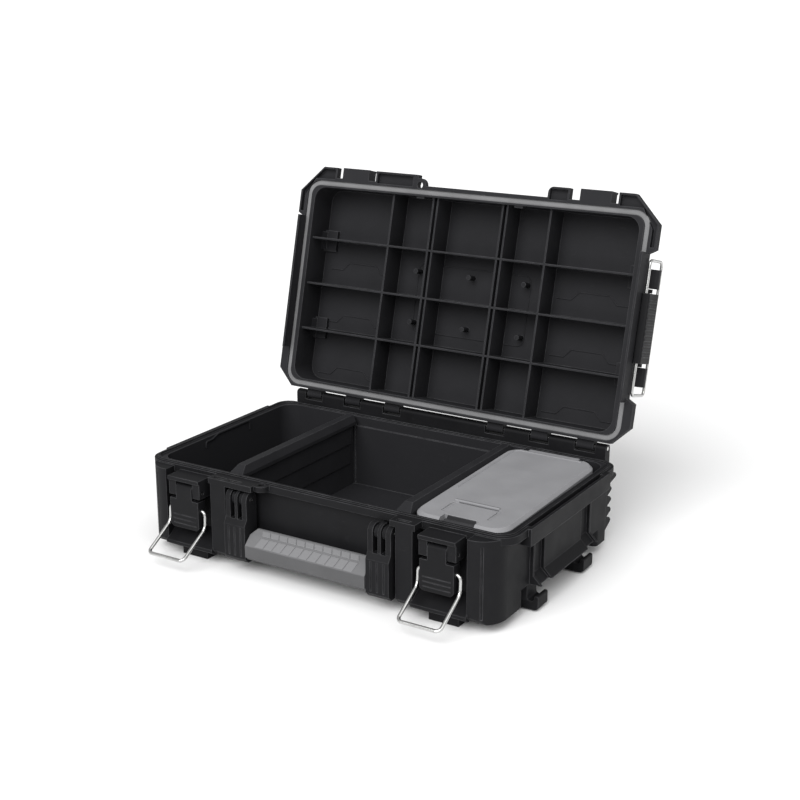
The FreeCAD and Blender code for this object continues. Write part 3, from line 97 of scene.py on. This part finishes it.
def makeGrainGroup():
    # spark-eroded mould texture: pebbles with a finer grit on them
    tree, given, out = newGroup(
        "mouldGrain",
        [("Coords", "NodeSocketVector"), ("Pebble Scale", "NodeSocketFloat"),
         ("Grit Share", "NodeSocketFloat")],
        [("Height", "NodeSocketFloat"), ("Mottle", "NodeSocketFloat")])
    pebbles = newNode(tree, "ShaderNodeTexVoronoi", feature="SMOOTH_F1")
    tree.links.new(given.outputs["Coords"], pebbles.inputs["Vector"])
    tree.links.new(given.outputs["Pebble Scale"], pebbles.inputs["Scale"])
    grit = noiseAt(tree, given.outputs["Coords"], grainSize["gritScale"], grainSize["gritDetail"])
    gritPart = mathNode(tree, "MULTIPLY", grit, given.outputs["Grit Share"])
    tree.links.new(mathNode(tree, "ADD", pebbles.outputs["Distance"], gritPart), out.inputs["Height"])
    mottle = noiseAt(tree, given.outputs["Coords"], grainSize["mottleScale"], grainSize["mottleDetail"])
    tree.links.new(mottle, out.inputs["Mottle"])
    return tree


scuffSize = {
    "stretch": (1.0, 9.0, 2.2), "turn": (0.3, 0.2, 0.5),
    "rubScale": 70.0, "rubDetail": 5.0, "rubRoughness": 0.7, "rubFrom": 0.6, "rubTo": 0.78,
    "patchScale": 9.0, "patchDetail": 2.0, "patchFrom": 0.48, "patchTo": 0.7,
}


def makeScuffGroup():
    # long faint rubs from handling, in patches
    tree, given, out = newGroup(
        "handlingScuffs",
        [("Coords", "NodeSocketVector"), ("Amount", "NodeSocketFloat")],
        [("Mask", "NodeSocketFloat")])
    size = scuffSize
    stretch = newNode(tree, "ShaderNodeMapping")
    setInputs(stretch, Scale=size["stretch"], Rotation=size["turn"])
    tree.links.new(given.outputs["Coords"], stretch.inputs["Vector"])
    stretched = stretch.outputs["Vector"]
    streaks = noiseAt(tree, stretched, size["rubScale"], size["rubDetail"], size["rubRoughness"])
    rubs = ramp(tree, streaks, size["rubFrom"], size["rubTo"])
    patches = noiseAt(tree, given.outputs["Coords"], size["patchScale"], size["patchDetail"])
    where = ramp(tree, patches, size["patchFrom"], size["patchTo"])
    both = mathNode(tree, "MULTIPLY", rubs, where)
    tree.links.new(mathNode(tree, "MULTIPLY", both, given.outputs["Amount"]), out.inputs["Mask"])
    return tree


# the corner mask below paints a highlight along the edges as well as marking their wear
edgeSize = {
    "flatDot": 0.995, "edgeFullDot": 0.86,
    "breakScale": 60.0, "breakDetail": 4.0, "breakFrom": 0.3, "breakTo": 0.62, "leastEdgeMark": 0.35,
}


def makeEdgeGroup():
    # mask of the corners, partly real wear and partly a painted highlight along them, from the rounded and
    # the flat normal
    tree, given, out = newGroup(
        "edgeWearAndHighlight",
        [("Coords", "NodeSocketVector"), ("Round Normal", "NodeSocketVector"),
         ("Flat Normal", "NodeSocketVector"), ("Strength", "NodeSocketFloat")],
        [("Mask", "NodeSocketFloat")])
    dot = newNode(tree, "ShaderNodeVectorMath", operation="DOT_PRODUCT")
    tree.links.new(given.outputs["Round Normal"], dot.inputs[0])
    tree.links.new(given.outputs["Flat Normal"], dot.inputs[1])
    edge = ramp(tree, dot.outputs["Value"], edgeSize["flatDot"], edgeSize["edgeFullDot"])
    breaks = noiseAt(tree, given.outputs["Coords"], edgeSize["breakScale"], edgeSize["breakDetail"])
    broken = ramp(tree, breaks, edgeSize["breakFrom"], edgeSize["breakTo"], edgeSize["leastEdgeMark"])
    edgeMark = mathNode(tree, "MULTIPLY", edge, broken)
    tree.links.new(mathNode(tree, "MULTIPLY", edgeMark, given.outputs["Strength"]), out.inputs["Mask"])
    return tree


grainGroup, scuffGroup, edgeGroup = makeGrainGroup(), makeScuffGroup(), makeEdgeGroup()


def placeGroup(tree, group, **values):
    made = newNode(tree, "ShaderNodeGroup")
    made.node_tree = group
    for name, value in values.items():
        socket = made.inputs[name.replace("_", " ")]
        if isinstance(value, (int, float)):
            socket.default_value = value
        else:
            tree.links.new(value, socket)
    return made


def mixColour(tree, factor, first, second):
    made = newNode(tree, "ShaderNodeMix", data_type="RGBA")
    tree.links.new(factor, made.inputs["Factor"])
    for label, value in (("A", first), ("B", second)):
        socket = [s for s in made.inputs if s.name == label and s.type == "RGBA"][0]
        if isinstance(value, tuple):
            socket.default_value = value
        else:
            tree.links.new(value, socket)
    return [s for s in made.outputs if s.type == "RGBA"][0]


def grey(value, blue=1.04):
    return (value, value, value * blue, 1.0)


paintedLightBlend = 0.0005


def paintedLightMask(tree, coords, look):
    # painted light: one where the moulding is painted paler, above a height and, on the tub, between its
    # walls
    split = newNode(tree, "ShaderNodeSeparateXYZ")
    tree.links.new(coords, split.inputs["Vector"])
    mask = ramp(tree, split.outputs["Z"], look["paintedLightFrom"] - paintedLightBlend, look["paintedLightFrom"] + paintedLightBlend)
    for axis, limit in look.get("paintedLightWithin", {}).items():
        size = mathNode(tree, "ABSOLUTE", split.outputs[axis])
        mask = mathNode(tree, "MULTIPLY", mask, mathNode(tree, "LESS_THAN", size, limit))
    return mask


# where most noise values begin and end
noiseLow, noiseHigh = 0.3, 0.7


def mouldedMaterial(name, look):
    # one grained, slightly scuffed moulding with rounded edges that carry wear and a painted highlight
    material = bpy.data.materials.new(name)
    material.use_nodes = True
    tree = material.node_tree
    shader = tree.nodes["Principled BSDF"]
    shader.inputs["Specular IOR Level"].default_value = look["specular"]
    coords = newNode(tree, "ShaderNodeTexCoord").outputs["Object"]
    soft = newNode(tree, "ShaderNodeBevel", samples=look["edgeSamples"])
    soft.inputs["Radius"].default_value = look["edgeRadius"]
    flat = newNode(tree, "ShaderNodeNewGeometry").outputs["Normal"]
    grain = placeGroup(tree, grainGroup, Coords=coords, Pebble_Scale=look["grainScale"],
                       Grit_Share=look["grit"])
    scuffs = placeGroup(tree, scuffGroup, Coords=coords, Amount=look["scuffs"]).outputs["Mask"]
    edges = placeGroup(tree, edgeGroup, Coords=coords, Round_Normal=soft.outputs["Normal"],
                       Flat_Normal=flat, Strength=look["edgeWearAndHighlight"]).outputs["Mask"]
    mottle = ramp(tree, grain.outputs["Mottle"], noiseLow, noiseHigh)
    body = mixColour(tree, mottle, look["dark"], look["light"])
    # painted light: a paler tone where the mask is one
    if "paintedLightFrom" in look:
        body = mixColour(tree, paintedLightMask(tree, coords, look), body, look["pale"])
    wearAndSheen = mixColour(tree, scuffs, body, look["wearAndSheen"])
    # the edges take the scuff colour: partly wear, partly a painted highlight
    tree.links.new(mixColour(tree, edges, wearAndSheen, look["wearAndSheen"]), shader.inputs["Base Color"])
    rough = ramp(tree, grain.outputs["Mottle"], noiseLow, noiseHigh, look["roughLow"], look["roughHigh"])
    smoother = mathNode(tree, "MULTIPLY", edges, look["polish"])
    tree.links.new(mathNode(tree, "SUBTRACT", rough, smoother), shader.inputs["Roughness"])
    bump = newNode(tree, "ShaderNodeBump")
    setInputs(bump, Strength=look["bump"], Distance=look["bumpDepth"])
    tree.links.new(grain.outputs["Height"], bump.inputs["Height"])
    tree.links.new(soft.outputs["Normal"], bump.inputs["Normal"])
    tree.links.new(bump.outputs["Normal"], shader.inputs["Normal"])
    return material


# each look's scuff and edge colour paints handling scuffs and, along the edges, a painted highlight
blackShell = {
    "dark": grey(0.0088, 1.1), "light": grey(0.0116, 1.1), "wearAndSheen": grey(0.072, 1.06),
    "specular": 0.09, "roughLow": 0.46, "roughHigh": 0.6, "polish": 0.1,
    "edgeRadius": 0.0015, "edgeSamples": 6, "edgeWearAndHighlight": 1.0, "scuffs": 0.22,
    "grainScale": 820.0, "grit": 0.4, "bump": 0.3, "bumpDepth": 0.0002,
}
# the tub's inner faces are painted paler, as painted light on its shaded inside
blackTubLitInside = dict(
    blackShell, pale=grey(0.0195, 1.1), paintedLightFrom=0.012, paintedLightWithin={"X": 0.2525, "Y": 0.1410})
# the lid, its beads and the dividers get a lighter copy of the shell's black, as painted light for their
# shaded insides
litBlackLid = dict(blackShell, dark=grey(0.0175, 1.1), light=grey(0.0215, 1.1), roughLow=0.52, roughHigh=0.66)
blackSmooth = dict(
    blackShell, dark=grey(0.0080, 1.1), light=grey(0.0102, 1.1), roughLow=0.4, roughHigh=0.52, bump=0.18,
    grainScale=1300.0)
# a dark grey for the organiser's latch; the same grey paints the shade sheet behind it
latchAndShadeGrey = dict(blackSmooth, dark=grey(0.036, 1.06), light=grey(0.042, 1.06))
greyCover = dict(
    blackShell, dark=grey(0.23), light=grey(0.255), wearAndSheen=grey(0.36), specular=0.3,
    roughLow=0.42, roughHigh=0.54, edgeWearAndHighlight=0.5, scuffs=0.2, edgeRadius=0.0012)
# painted light: above its front face the grip is painted paler, and its scales paler still, for the light on
# the up-facing bevel and crown
gripFaceHeight = 0.0200
gripPaintedLightRise = 0.0003
gripRubber = dict(
    blackShell, dark=grey(0.078, 1.03), light=grey(0.092, 1.03), wearAndSheen=grey(0.26), specular=0.22,
    roughLow=0.62, roughHigh=0.76, edgeWearAndHighlight=0.6, scuffs=0.15, grainScale=1100.0, edgeRadius=0.0011,
    pale=grey(0.140, 1.03), paintedLightFrom=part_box("handle_grip")[0][2] + gripFaceHeight + gripPaintedLightRise)
scaleRubberLit = dict(
    gripRubber, dark=grey(0.165, 1.03), light=grey(0.190, 1.03), wearAndSheen=grey(0.28), pale=grey(0.178, 1.03))
sealRubber = dict(
    blackShell, dark=grey(0.16, 1.02), light=grey(0.2, 1.02), wearAndSheen=grey(0.26, 1.0), specular=0.2,
    roughLow=0.68, roughHigh=0.82, edgeWearAndHighlight=0.2, scuffs=0.1, grainScale=1500.0, edgeRadius=0.0012)
shellMaterial = mouldedMaterial("blackShellPlastic", blackShell)
tubMaterial = mouldedMaterial("blackTubLitInsidePlastic", blackTubLitInside)
litLidMaterial = mouldedMaterial("litBlackLidPlastic", litBlackLid)
smoothMaterial = mouldedMaterial("blackLeverPlastic", blackSmooth)
latchAndShadeMaterial = mouldedMaterial("latchAndShadeGreyPlastic", latchAndShadeGrey)
coverMaterial = mouldedMaterial("greyCoverPlastic", greyCover)
gripMaterial = mouldedMaterial("greyGripRubber", gripRubber)
scaleMaterial = mouldedMaterial("scaleRubberPaintedLight", scaleRubberLit)
sealMaterial = mouldedMaterial("greySealRubber", sealRubber)

steelLook = {
    "dark": (0.5, 0.5, 0.495, 1.0), "light": (0.63, 0.63, 0.62, 1.0), "roughLow": 0.2, "roughHigh": 0.34,
    "streakScale": 1800.0, "streakDetail": 2.0, "cloudScale": 45.0, "bump": 0.08, "bumpDepth": 0.0001,
}


def steelMaterial(name, look):
    # drawn wire: fine streaks and faint cloudy patches
    material = bpy.data.materials.new(name)
    material.use_nodes = True
    tree = material.node_tree
    shader = tree.nodes["Principled BSDF"]
    shader.inputs["Metallic"].default_value = 1.0
    coords = newNode(tree, "ShaderNodeTexCoord").outputs["Object"]
    streaks = noiseAt(tree, coords, look["streakScale"], look["streakDetail"])
    shade = ramp(tree, noiseAt(tree, coords, look["cloudScale"]), noiseLow, noiseHigh)
    tree.links.new(mixColour(tree, shade, look["dark"], look["light"]), shader.inputs["Base Color"])
    rough = ramp(tree, streaks, noiseLow, noiseHigh, look["roughLow"], look["roughHigh"])
    tree.links.new(rough, shader.inputs["Roughness"])
    bump = newNode(tree, "ShaderNodeBump")
    setInputs(bump, Strength=look["bump"], Distance=look["bumpDepth"])
    tree.links.new(streaks, bump.inputs["Height"])
    tree.links.new(bump.outputs["Normal"], shader.inputs["Normal"])
    return material


wireMaterial = steelMaterial("brightWireSteel", steelLook)

finishes = {
    "base_shell": tubMaterial, "rear_bumper_left": shellMaterial, "rear_bumper_right": shellMaterial,
    "handle_frame": shellMaterial, "handle_grip": gripMaterial,
    "latch_lever_left": smoothMaterial, "latch_lever_right": smoothMaterial,
    "lid_shell": litLidMaterial, "lid_gasket": sealMaterial,
    "stack_lever_left": smoothMaterial, "stack_lever_right": smoothMaterial,
    "divider_left": litLidMaterial, "divider_right": litLidMaterial,
    "organiser_bin": shellMaterial, "organiser_lid": coverMaterial, "organiser_latch": latchAndShadeMaterial,
}
for name, node in nodes.items():
    material = finishes.get(name, wireMaterial)
    node.data.materials.clear()
    node.data.materials.append(material)
print("materials set on", len(nodes), "nodes")


# geometry node helpers

def newTree(name, inputs):
    tree = bpy.data.node_groups.new(name, "GeometryNodeTree")
    for label, kind in inputs:
        tree.interface.new_socket(label, in_out="INPUT", socket_type=kind)
    tree.interface.new_socket("Geometry", in_out="OUTPUT", socket_type="NodeSocketGeometry")
    return tree, newNode(tree, "NodeGroupInput").outputs, newNode(tree, "NodeGroupOutput")


def endTree(tree, shape, finish, out):
    # instances become plain faces that carry their material
    real = newNode(tree, "GeometryNodeRealizeInstances")
    painted = newNode(tree, "GeometryNodeSetMaterial")
    tree.links.new(shape, real.inputs["Geometry"])
    tree.links.new(real.outputs["Geometry"], painted.inputs["Geometry"])
    tree.links.new(finish, painted.inputs["Material"])
    tree.links.new(painted.outputs["Geometry"], out.inputs["Geometry"])


def layOut(name, tree, values, body):
    # runs a tree on an empty mesh and keeps the result as a plain piece
    piece = bpy.data.objects.new(name, bpy.data.meshes.new(name))
    scene.collection.objects.link(piece)
    modifier = piece.modifiers.new("layout", "NODES")
    modifier.node_group = tree
    for item in tree.interface.items_tree:
        if item.in_out == "INPUT":
            modifier[item.identifier] = values[item.name]
    graph = bpy.context.evaluated_depsgraph_get()
    mesh = bpy.data.meshes.new_from_object(piece.evaluated_get(graph), depsgraph=graph)
    piece.modifiers.remove(modifier)
    piece.data = mesh
    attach(piece, body)
    print(name, "laid out:", len(mesh.polygons), "faces")


# scales on the grip: a front row on the bevel and one above it that leans the other way

grip = {
    "count": 11, "pitch": 0.0131, "gap": 0.0009, "thick": 0.0008, "chamfer": 0.0005, "sunk": 0.0006,
    "bevel": 0.011, "crown": 0.008, "margin": 0.0012,
    "frontLean": 0.0042, "topLean": -0.0034,
}


def makeScale(name, width, height, lean):
    # one leaning plate with a chamfered rim, its middle on the origin
    inset = grip["chamfer"]
    low, high = -grip["sunk"], grip["thick"]
    verts, faces = [], []
    for level, shrink in ((low, 0.0), (high - inset, 0.0), (high, inset)):
        for across, up in ((-1, -1), (1, -1), (1, 1), (-1, 1)):
            x = across * (width / 2 - shrink) + up * lean / 2
            verts.append((x, up * (height / 2 - shrink), level))
    for ring in (0, 4):
        for corner in range(4):
            nextCorner = (corner + 1) % 4
            faces.append((ring + corner, ring + nextCorner, ring + 4 + nextCorner, ring + 4 + corner))
    faces += [(8, 9, 10, 11), (3, 2, 1, 0)]
    mesh = bpy.data.meshes.new(name)
    mesh.from_pydata(verts, [], faces)
    plate = bpy.data.objects.new(name, mesh)
    scene.collection.objects.link(plate)
    return plate


def makeRowTree():
    tree, given, out = newTree("scaleRow", [
        ("Plate", "NodeSocketObject"), ("Count", "NodeSocketInt"), ("First", "NodeSocketVector"),
        ("Step", "NodeSocketVector"), ("Turn", "NodeSocketVector"), ("Finish", "NodeSocketMaterial")])
    row = newNode(tree, "GeometryNodeMeshLine", mode="OFFSET", count_mode="TOTAL")
    plate = newNode(tree, "GeometryNodeObjectInfo")
    plate.inputs["As Instance"].default_value = True
    turn = newNode(tree, "FunctionNodeEulerToRotation")
    spread = newNode(tree, "GeometryNodeInstanceOnPoints")
    tree.links.new(given["Count"], row.inputs["Count"])
    tree.links.new(given["First"], row.inputs["Start Location"])
    tree.links.new(given["Step"], row.inputs["Offset"])
    tree.links.new(given["Plate"], plate.inputs["Object"])
    tree.links.new(given["Turn"], turn.inputs["Euler"])
    tree.links.new(row.outputs["Mesh"], spread.inputs["Points"])
    tree.links.new(plate.outputs["Geometry"], spread.inputs["Instance"])
    tree.links.new(turn.outputs["Rotation"], spread.inputs["Rotation"])
    endTree(tree, spread.outputs["Instances"], given["Finish"], out)
    return tree


def makeGripScales():
    low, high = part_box("handle_grip")
    frontEdge = (low[1], low[2] + gripFaceHeight)
    ridge = (frontEdge[0] + grip["bevel"], frontEdge[1] + grip["bevel"])
    crest = (ridge[0] + grip["crown"], high[2])
    tree = makeRowTree()
    rows = (("gripScalesFront", frontEdge, ridge, grip["frontLean"]),
            ("gripScalesTop", ridge, crest, grip["topLean"]))
    for name, foot, head, lean in rows:
        rise = (head[0] - foot[0], head[1] - foot[1])
        height = math.hypot(*rise) - 2 * grip["margin"]
        plate = makeScale(name + "Plate", grip["pitch"] - grip["gap"], height, lean)
        middle = ((foot[0] + head[0]) / 2, (foot[1] + head[1]) / 2)
        firstX = -grip["pitch"] * (grip["count"] - 1) / 2
        layOut(name, tree, {
            "Plate": plate, "Count": grip["count"], "First": (firstX, middle[0], middle[1]),
            "Step": (grip["pitch"], 0.0, 0.0), "Turn": (math.atan2(rise[1], rise[0]), 0.0, 0.0),
            "Finish": scaleMaterial,
        }, "handle")
        bpy.data.objects.remove(plate)


# beads moulded on both faces of the lid, the tub's left wall and the organiser's cover

lidFaces = {"hinge": (0.160, 0.131), "openTurn": math.radians(103.93), "inside": 0.1635, "outside": 0.1670}
beads = {"width": 0.0017, "height": 0.0016, "corner": 0.001, "cornerSteps": 6}
stepLines = {
    "columnX": 0.1835, "rows": 3, "firstY": -0.0355, "rowPitch": 0.077,
    "plateau": 0.0224, "foot": 0.033, "reach": 0.054, "drop": 0.011, "corner": 0.0015,
}
panelLine = {"halfWidth": 0.0885, "halfHeight": 0.048, "corner": 0.010}
topRibs = {
    "halfLength": 0.150, "rows": 7, "pitch": 0.022, "width": 0.0024,
    "frameHalfWidth": 0.172, "frameHalfHeight": 0.088, "frameCorner": 0.020,
}
wallRidge = {
    "wallX": -0.2515, "width": 0.0030, "corner": 0.003,
    "startY": -0.049, "lowEnd": -0.036, "highStart": -0.023,
    "endY": 0.047, "footZ": 0.1035, "lowZ": 0.1118, "highZ": 0.1164,
}
coverLines = {
    "rise": 0.0044, "sideIn": 0.0105, "rearIn": 0.014, "startY": -0.039, "rearEndIn": 0.020, "corner": 0.008,
    "width": 0.0016, "ridgeFrom": 0.153, "ridgeTo": 0.212, "ridgeY": -0.0756, "ridgeWidth": 0.0034,
}


def makeBeadTree():
    tree, given, out = newTree("mouldedBeads", [
        ("Outline", "NodeSocketObject"), ("Columns", "NodeSocketInt"), ("Rows", "NodeSocketInt"),
        ("Column Gap", "NodeSocketFloat"), ("Rows Length", "NodeSocketFloat"), ("Corner", "NodeSocketFloat"),
        ("Bead Width", "NodeSocketFloat"), ("Bead Height", "NodeSocketFloat"),
        ("Place", "NodeSocketVector"), ("Turn", "NodeSocketVector"), ("Finish", "NodeSocketMaterial")])
    grid = newNode(tree, "GeometryNodeMeshGrid")
    outline = newNode(tree, "GeometryNodeObjectInfo")
    line = newNode(tree, "GeometryNodeMeshToCurve")
    cornered = newNode(tree, "GeometryNodeFilletCurve", mode="POLY")
    cornered.inputs["Count"].default_value = beads["cornerSteps"]
    bead = newNode(tree, "GeometryNodeCurvePrimitiveQuadrilateral", mode="RECTANGLE")
    tube = newNode(tree, "GeometryNodeCurveToMesh")
    tube.inputs["Fill Caps"].default_value = True
    spread = newNode(tree, "GeometryNodeInstanceOnPoints")
    turn = newNode(tree, "FunctionNodeEulerToRotation")
    lean = newNode(tree, "GeometryNodeTransform")
    for source, node, label in (
            ("Outline", outline, "Object"), ("Columns", grid, "Vertices X"), ("Rows", grid, "Vertices Y"),
            ("Column Gap", grid, "Size X"), ("Rows Length", grid, "Size Y"), ("Corner", cornered, "Radius"),
            ("Bead Width", bead, "Width"), ("Bead Height", bead, "Height"), ("Turn", turn, "Euler"),
            ("Place", lean, "Translation")):
        tree.links.new(given[source], node.inputs[label])
    tree.links.new(outline.outputs["Geometry"], line.inputs["Mesh"])
    tree.links.new(line.outputs["Curve"], cornered.inputs["Curve"])
    tree.links.new(cornered.outputs["Curve"], tube.inputs["Curve"])
    tree.links.new(bead.outputs["Curve"], tube.inputs["Profile Curve"])
    tree.links.new(grid.outputs["Mesh"], spread.inputs["Points"])
    tree.links.new(tube.outputs["Mesh"], spread.inputs["Instance"])
    tree.links.new(spread.outputs["Instances"], lean.inputs["Geometry"])
    tree.links.new(turn.outputs["Rotation"], lean.inputs["Rotation"])
    endTree(tree, lean.outputs["Geometry"], given["Finish"], out)
    return tree


def makeOutline(name, points, closed):
    edges = [(at, at + 1) for at in range(len(points) - 1)]
    if closed:
        edges.append((len(points) - 1, 0))
    mesh = bpy.data.meshes.new(name)
    mesh.from_pydata(points, edges, [])
    outline = bpy.data.objects.new(name, mesh)
    scene.collection.objects.link(outline)
    return outline


def layBeads(name, tree, points, closed, body, changes):
    outline = makeOutline(name + "Path", points, closed)
    values = {
        "Outline": outline, "Columns": 1, "Rows": 1, "Column Gap": 0.0, "Rows Length": 0.0,
        "Corner": beads["corner"], "Bead Width": beads["width"], "Bead Height": beads["height"],
        "Place": (0.0, 0.0, 0.0), "Turn": (0.0, 0.0, 0.0), "Finish": litLidMaterial,
    }
    values.update(changes)
    layOut(name, tree, values, body)
    bpy.data.objects.remove(outline)


def onOpenLid(middleY, face):
    # place and turn of a spot that is measured on the shut lid
    hingeY, hingeZ = lidFaces["hinge"]
    turn = -lidFaces["openTurn"]
    across, up = middleY - hingeY, lidFaces[face] - hingeZ
    place = (0.0, hingeY + across * math.cos(turn) - up * math.sin(turn),
             hingeZ + across * math.sin(turn) + up * math.cos(turn))
    return {"Place": place, "Turn": (turn, 0.0, 0.0)}


def makeLidBeads(tree):
    plateau, foot, reach, drop = (stepLines[key] for key in ("plateau", "foot", "reach", "drop"))
    half = [(plateau, 0.0, 0.0), (foot, drop, 0.0), (reach, drop, 0.0)]
    steps = [(-x, y, z) for x, y, z in reversed(half)] + half
    rowsLength = stepLines["rowPitch"] * (stepLines["rows"] - 1)
    layBeads("lidStepLines", tree, steps, False, "lid", dict(
        onOpenLid(stepLines["firstY"] + rowsLength / 2, "inside"), **{
            "Columns": 2, "Rows": stepLines["rows"], "Column Gap": 2 * stepLines["columnX"],
            "Rows Length": rowsLength, "Corner": stepLines["corner"]}))
    wide, high = panelLine["halfWidth"], panelLine["halfHeight"]
    corners = [(-wide, -high, 0.0), (wide, -high, 0.0), (wide, high, 0.0), (-wide, high, 0.0)]
    layBeads("lidPanelLine", tree, corners, True, "lid",
             dict(onOpenLid(0.0, "inside"), Corner=panelLine["corner"]))


def makeTopRibs(tree):
    # low ribs in a frame on the lid's outer face
    ribs = topRibs
    beadSize = {"Bead Width": ribs["width"], "Bead Height": ribs["width"]}
    half, wide, high = ribs["halfLength"], ribs["frameHalfWidth"], ribs["frameHalfHeight"]
    layBeads("lidTopRibs", tree, [(-half, 0.0, 0.0), (half, 0.0, 0.0)], False, "lid", dict(
        onOpenLid(0.0, "outside"), **beadSize, **{
            "Rows": ribs["rows"], "Rows Length": ribs["pitch"] * (ribs["rows"] - 1)}))
    corners = [(-wide, -high, 0.0), (wide, -high, 0.0), (wide, high, 0.0), (-wide, high, 0.0)]
    layBeads("lidTopFrame", tree, corners, True, "lid",
             dict(onOpenLid(0.0, "outside"), Corner=ribs["frameCorner"], **beadSize))


def makeWallRidge(tree):
    ridge = wallRidge
    path = [(ridge["startY"], ridge["footZ"]), (ridge["startY"], ridge["lowZ"]),
            (ridge["lowEnd"], ridge["lowZ"]), (ridge["highStart"], ridge["highZ"]),
            (ridge["endY"], ridge["highZ"]), (ridge["endY"], ridge["footZ"])]
    points = [(ridge["wallX"], y, z) for y, z in path]
    layBeads("tubWallRidge", tree, points, False, "base", {
        "Corner": ridge["corner"], "Bead Width": ridge["width"], "Bead Height": ridge["width"],
        "Finish": tubMaterial})


def makeCoverLines(tree):
    low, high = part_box("organiser_lid")
    lines = coverLines

    def onTop(x, y):
        # the cover's top climbs to the rear
        return (x, y, high[2] - lines["rise"] * (high[1] - y) / (high[1] - low[1]))

    left, rear = low[0] + lines["sideIn"], high[1] - lines["rearIn"]
    step = [onTop(left, lines["startY"]), onTop(left, rear), onTop(high[0] - lines["rearEndIn"], rear)]
    layBeads("coverStepLine", tree, step, False, "organiser_lid", {
        "Corner": lines["corner"], "Bead Width": lines["width"], "Bead Height": lines["width"],
        "Finish": coverMaterial})
    ridge = [onTop(lines["ridgeFrom"], lines["ridgeY"]), onTop(lines["ridgeTo"], lines["ridgeY"])]
    layBeads("coverRidge", tree, ridge, False, "organiser_lid", {
        "Bead Width": lines["ridgeWidth"], "Bead Height": lines["ridgeWidth"], "Finish": coverMaterial})


# painted shade behind the organiser's latch: a thin dark plate on the notch's rear wall, where the notch's
# edge throws its shadow

latchShadeSheet = {
    "wallIn": 0.015, "thick": 0.0003, "sunk": 0.0002,
    "topHalf": 0.0185, "footHalf": 0.0225, "topDrop": 0.0005, "footRise": 0.0005,
}


def makeLatchShadeSheet():
    size = latchShadeSheet
    low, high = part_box("organiser_lid")
    pinLow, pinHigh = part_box("organiser_latch_pin")
    middle = (pinLow[0] + pinHigh[0]) / 2
    back = low[1] + size["wallIn"]
    foot, top = low[2] + size["footRise"], high[2] - coverLines["rise"] - size["topDrop"]
    outline = [(-size["footHalf"], foot), (size["footHalf"], foot),
               (size["topHalf"], top), (-size["topHalf"], top)]
    verts = [(middle + x, y, z) for y in (back - size["thick"], back + size["sunk"]) for x, z in outline]
    faces = [(0, 1, 2, 3), (7, 6, 5, 4)]
    for corner in range(4):
        nextCorner = (corner + 1) % 4
        faces.append((corner, corner + 4, nextCorner + 4, nextCorner))
    mesh = bpy.data.meshes.new("organiserLatchSeat")
    mesh.from_pydata(verts, [], faces)
    # the plate paints the shadow under the notch's edge
    mesh.materials.append(latchAndShadeMaterial)
    shadeSheet = bpy.data.objects.new("organiserLatchSeat", mesh)
    scene.collection.objects.link(shadeSheet)
    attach(shadeSheet, "organiser_lid")


makeGripScales()
beadTree = makeBeadTree()
makeLidBeads(beadTree)
makeTopRibs(beadTree)
makeWallRidge(beadTree)
makeCoverLines(beadTree)
makeLatchShadeSheet()
print("small mouldings laid")


# floor, light and camera

studio = {
    "floorSize": 90.0, "floorColour": (0.93, 0.93, 0.93, 1.0), "floorRoughness": 0.9,
    "skyColour": (1.0, 1.0, 1.0, 1.0), "skyStrength": 0.48, "backdrop": 1.0,
    "keyStrength": 2.8, "keySpread": math.radians(45), "keyFrom": (0.0, -0.85, 0.72),
    "fillStrength": 0.95, "fillSpread": math.radians(60), "fillFrom": (0.75, -0.3, 1.05),
}
photoView = {
    "lens": 63.37, "sensor": 36.0, "place": (0.9237, -1.4471, 0.7280),
    "around": math.radians(31.77), "above": math.radians(17.12),
}


def makeFloor():
    mesh = bpy.data.meshes.new("studioFloor")
    half = studio["floorSize"] / 2
    corners = [(-half, -half, 0), (half, -half, 0), (half, half, 0), (-half, half, 0)]
    mesh.from_pydata(corners, [], [(0, 1, 2, 3)])
    floor = bpy.data.objects.new("studioFloor", mesh)
    scene.collection.objects.link(floor)
    material = bpy.data.materials.new("paleFloor")
    material.use_nodes = True
    shader = material.node_tree.nodes["Principled BSDF"]
    setInputs(shader, Base_Color=studio["floorColour"], Roughness=studio["floorRoughness"])
    mesh.materials.append(material)


def makeSky():
    # even light from all round, with a white backdrop behind the floor
    world = bpy.data.worlds.new("studioWorld")
    scene.world = world
    world.use_nodes = True
    tree = world.node_tree
    sky = tree.nodes["Background"]
    sky.inputs["Color"].default_value = studio["skyColour"]
    seen = newNode(tree, "ShaderNodeLightPath").outputs["Is Camera Ray"]
    strength = ramp(tree, seen, 0.0, 1.0, studio["skyStrength"], studio["backdrop"])
    tree.links.new(strength, sky.inputs["Strength"])


def makeLight(name, comesFrom, strength, spread):
    # a broad, far light, so the pale floor is lit evenly
    data = bpy.data.lights.new(name, "SUN")
    data.energy = strength
    data.angle = spread
    lamp = bpy.data.objects.new(name, data)
    scene.collection.objects.link(lamp)
    lamp.location = comesFrom
    lamp.rotation_mode = "QUATERNION"
    lamp.rotation_quaternion = (-Vector(comesFrom)).to_track_quat("-Z", "Y")


def makeCamera():
    data = bpy.data.cameras.new("photoCamera")
    data.lens = photoView["lens"]
    data.sensor_width = photoView["sensor"]
    camera = bpy.data.objects.new("photoCamera", data)
    scene.collection.objects.link(camera)
    around, above = photoView["around"], photoView["above"]
    back = Vector((math.sin(around) * math.cos(above), -math.cos(around) * math.cos(above), math.sin(above)))
    camera.location = photoView["place"]
    camera.rotation_mode = "QUATERNION"
    camera.rotation_quaternion = (-back).to_track_quat("-Z", "Y")
    scene.camera = camera


makeFloor()
makeSky()
makeLight("keyLight", studio["keyFrom"], studio["keyStrength"], studio["keySpread"])
makeLight("fillLight", studio["fillFrom"], studio["fillStrength"], studio["fillSpread"])
makeCamera()
scene.view_settings.view_transform = "Standard"
print("studio set")
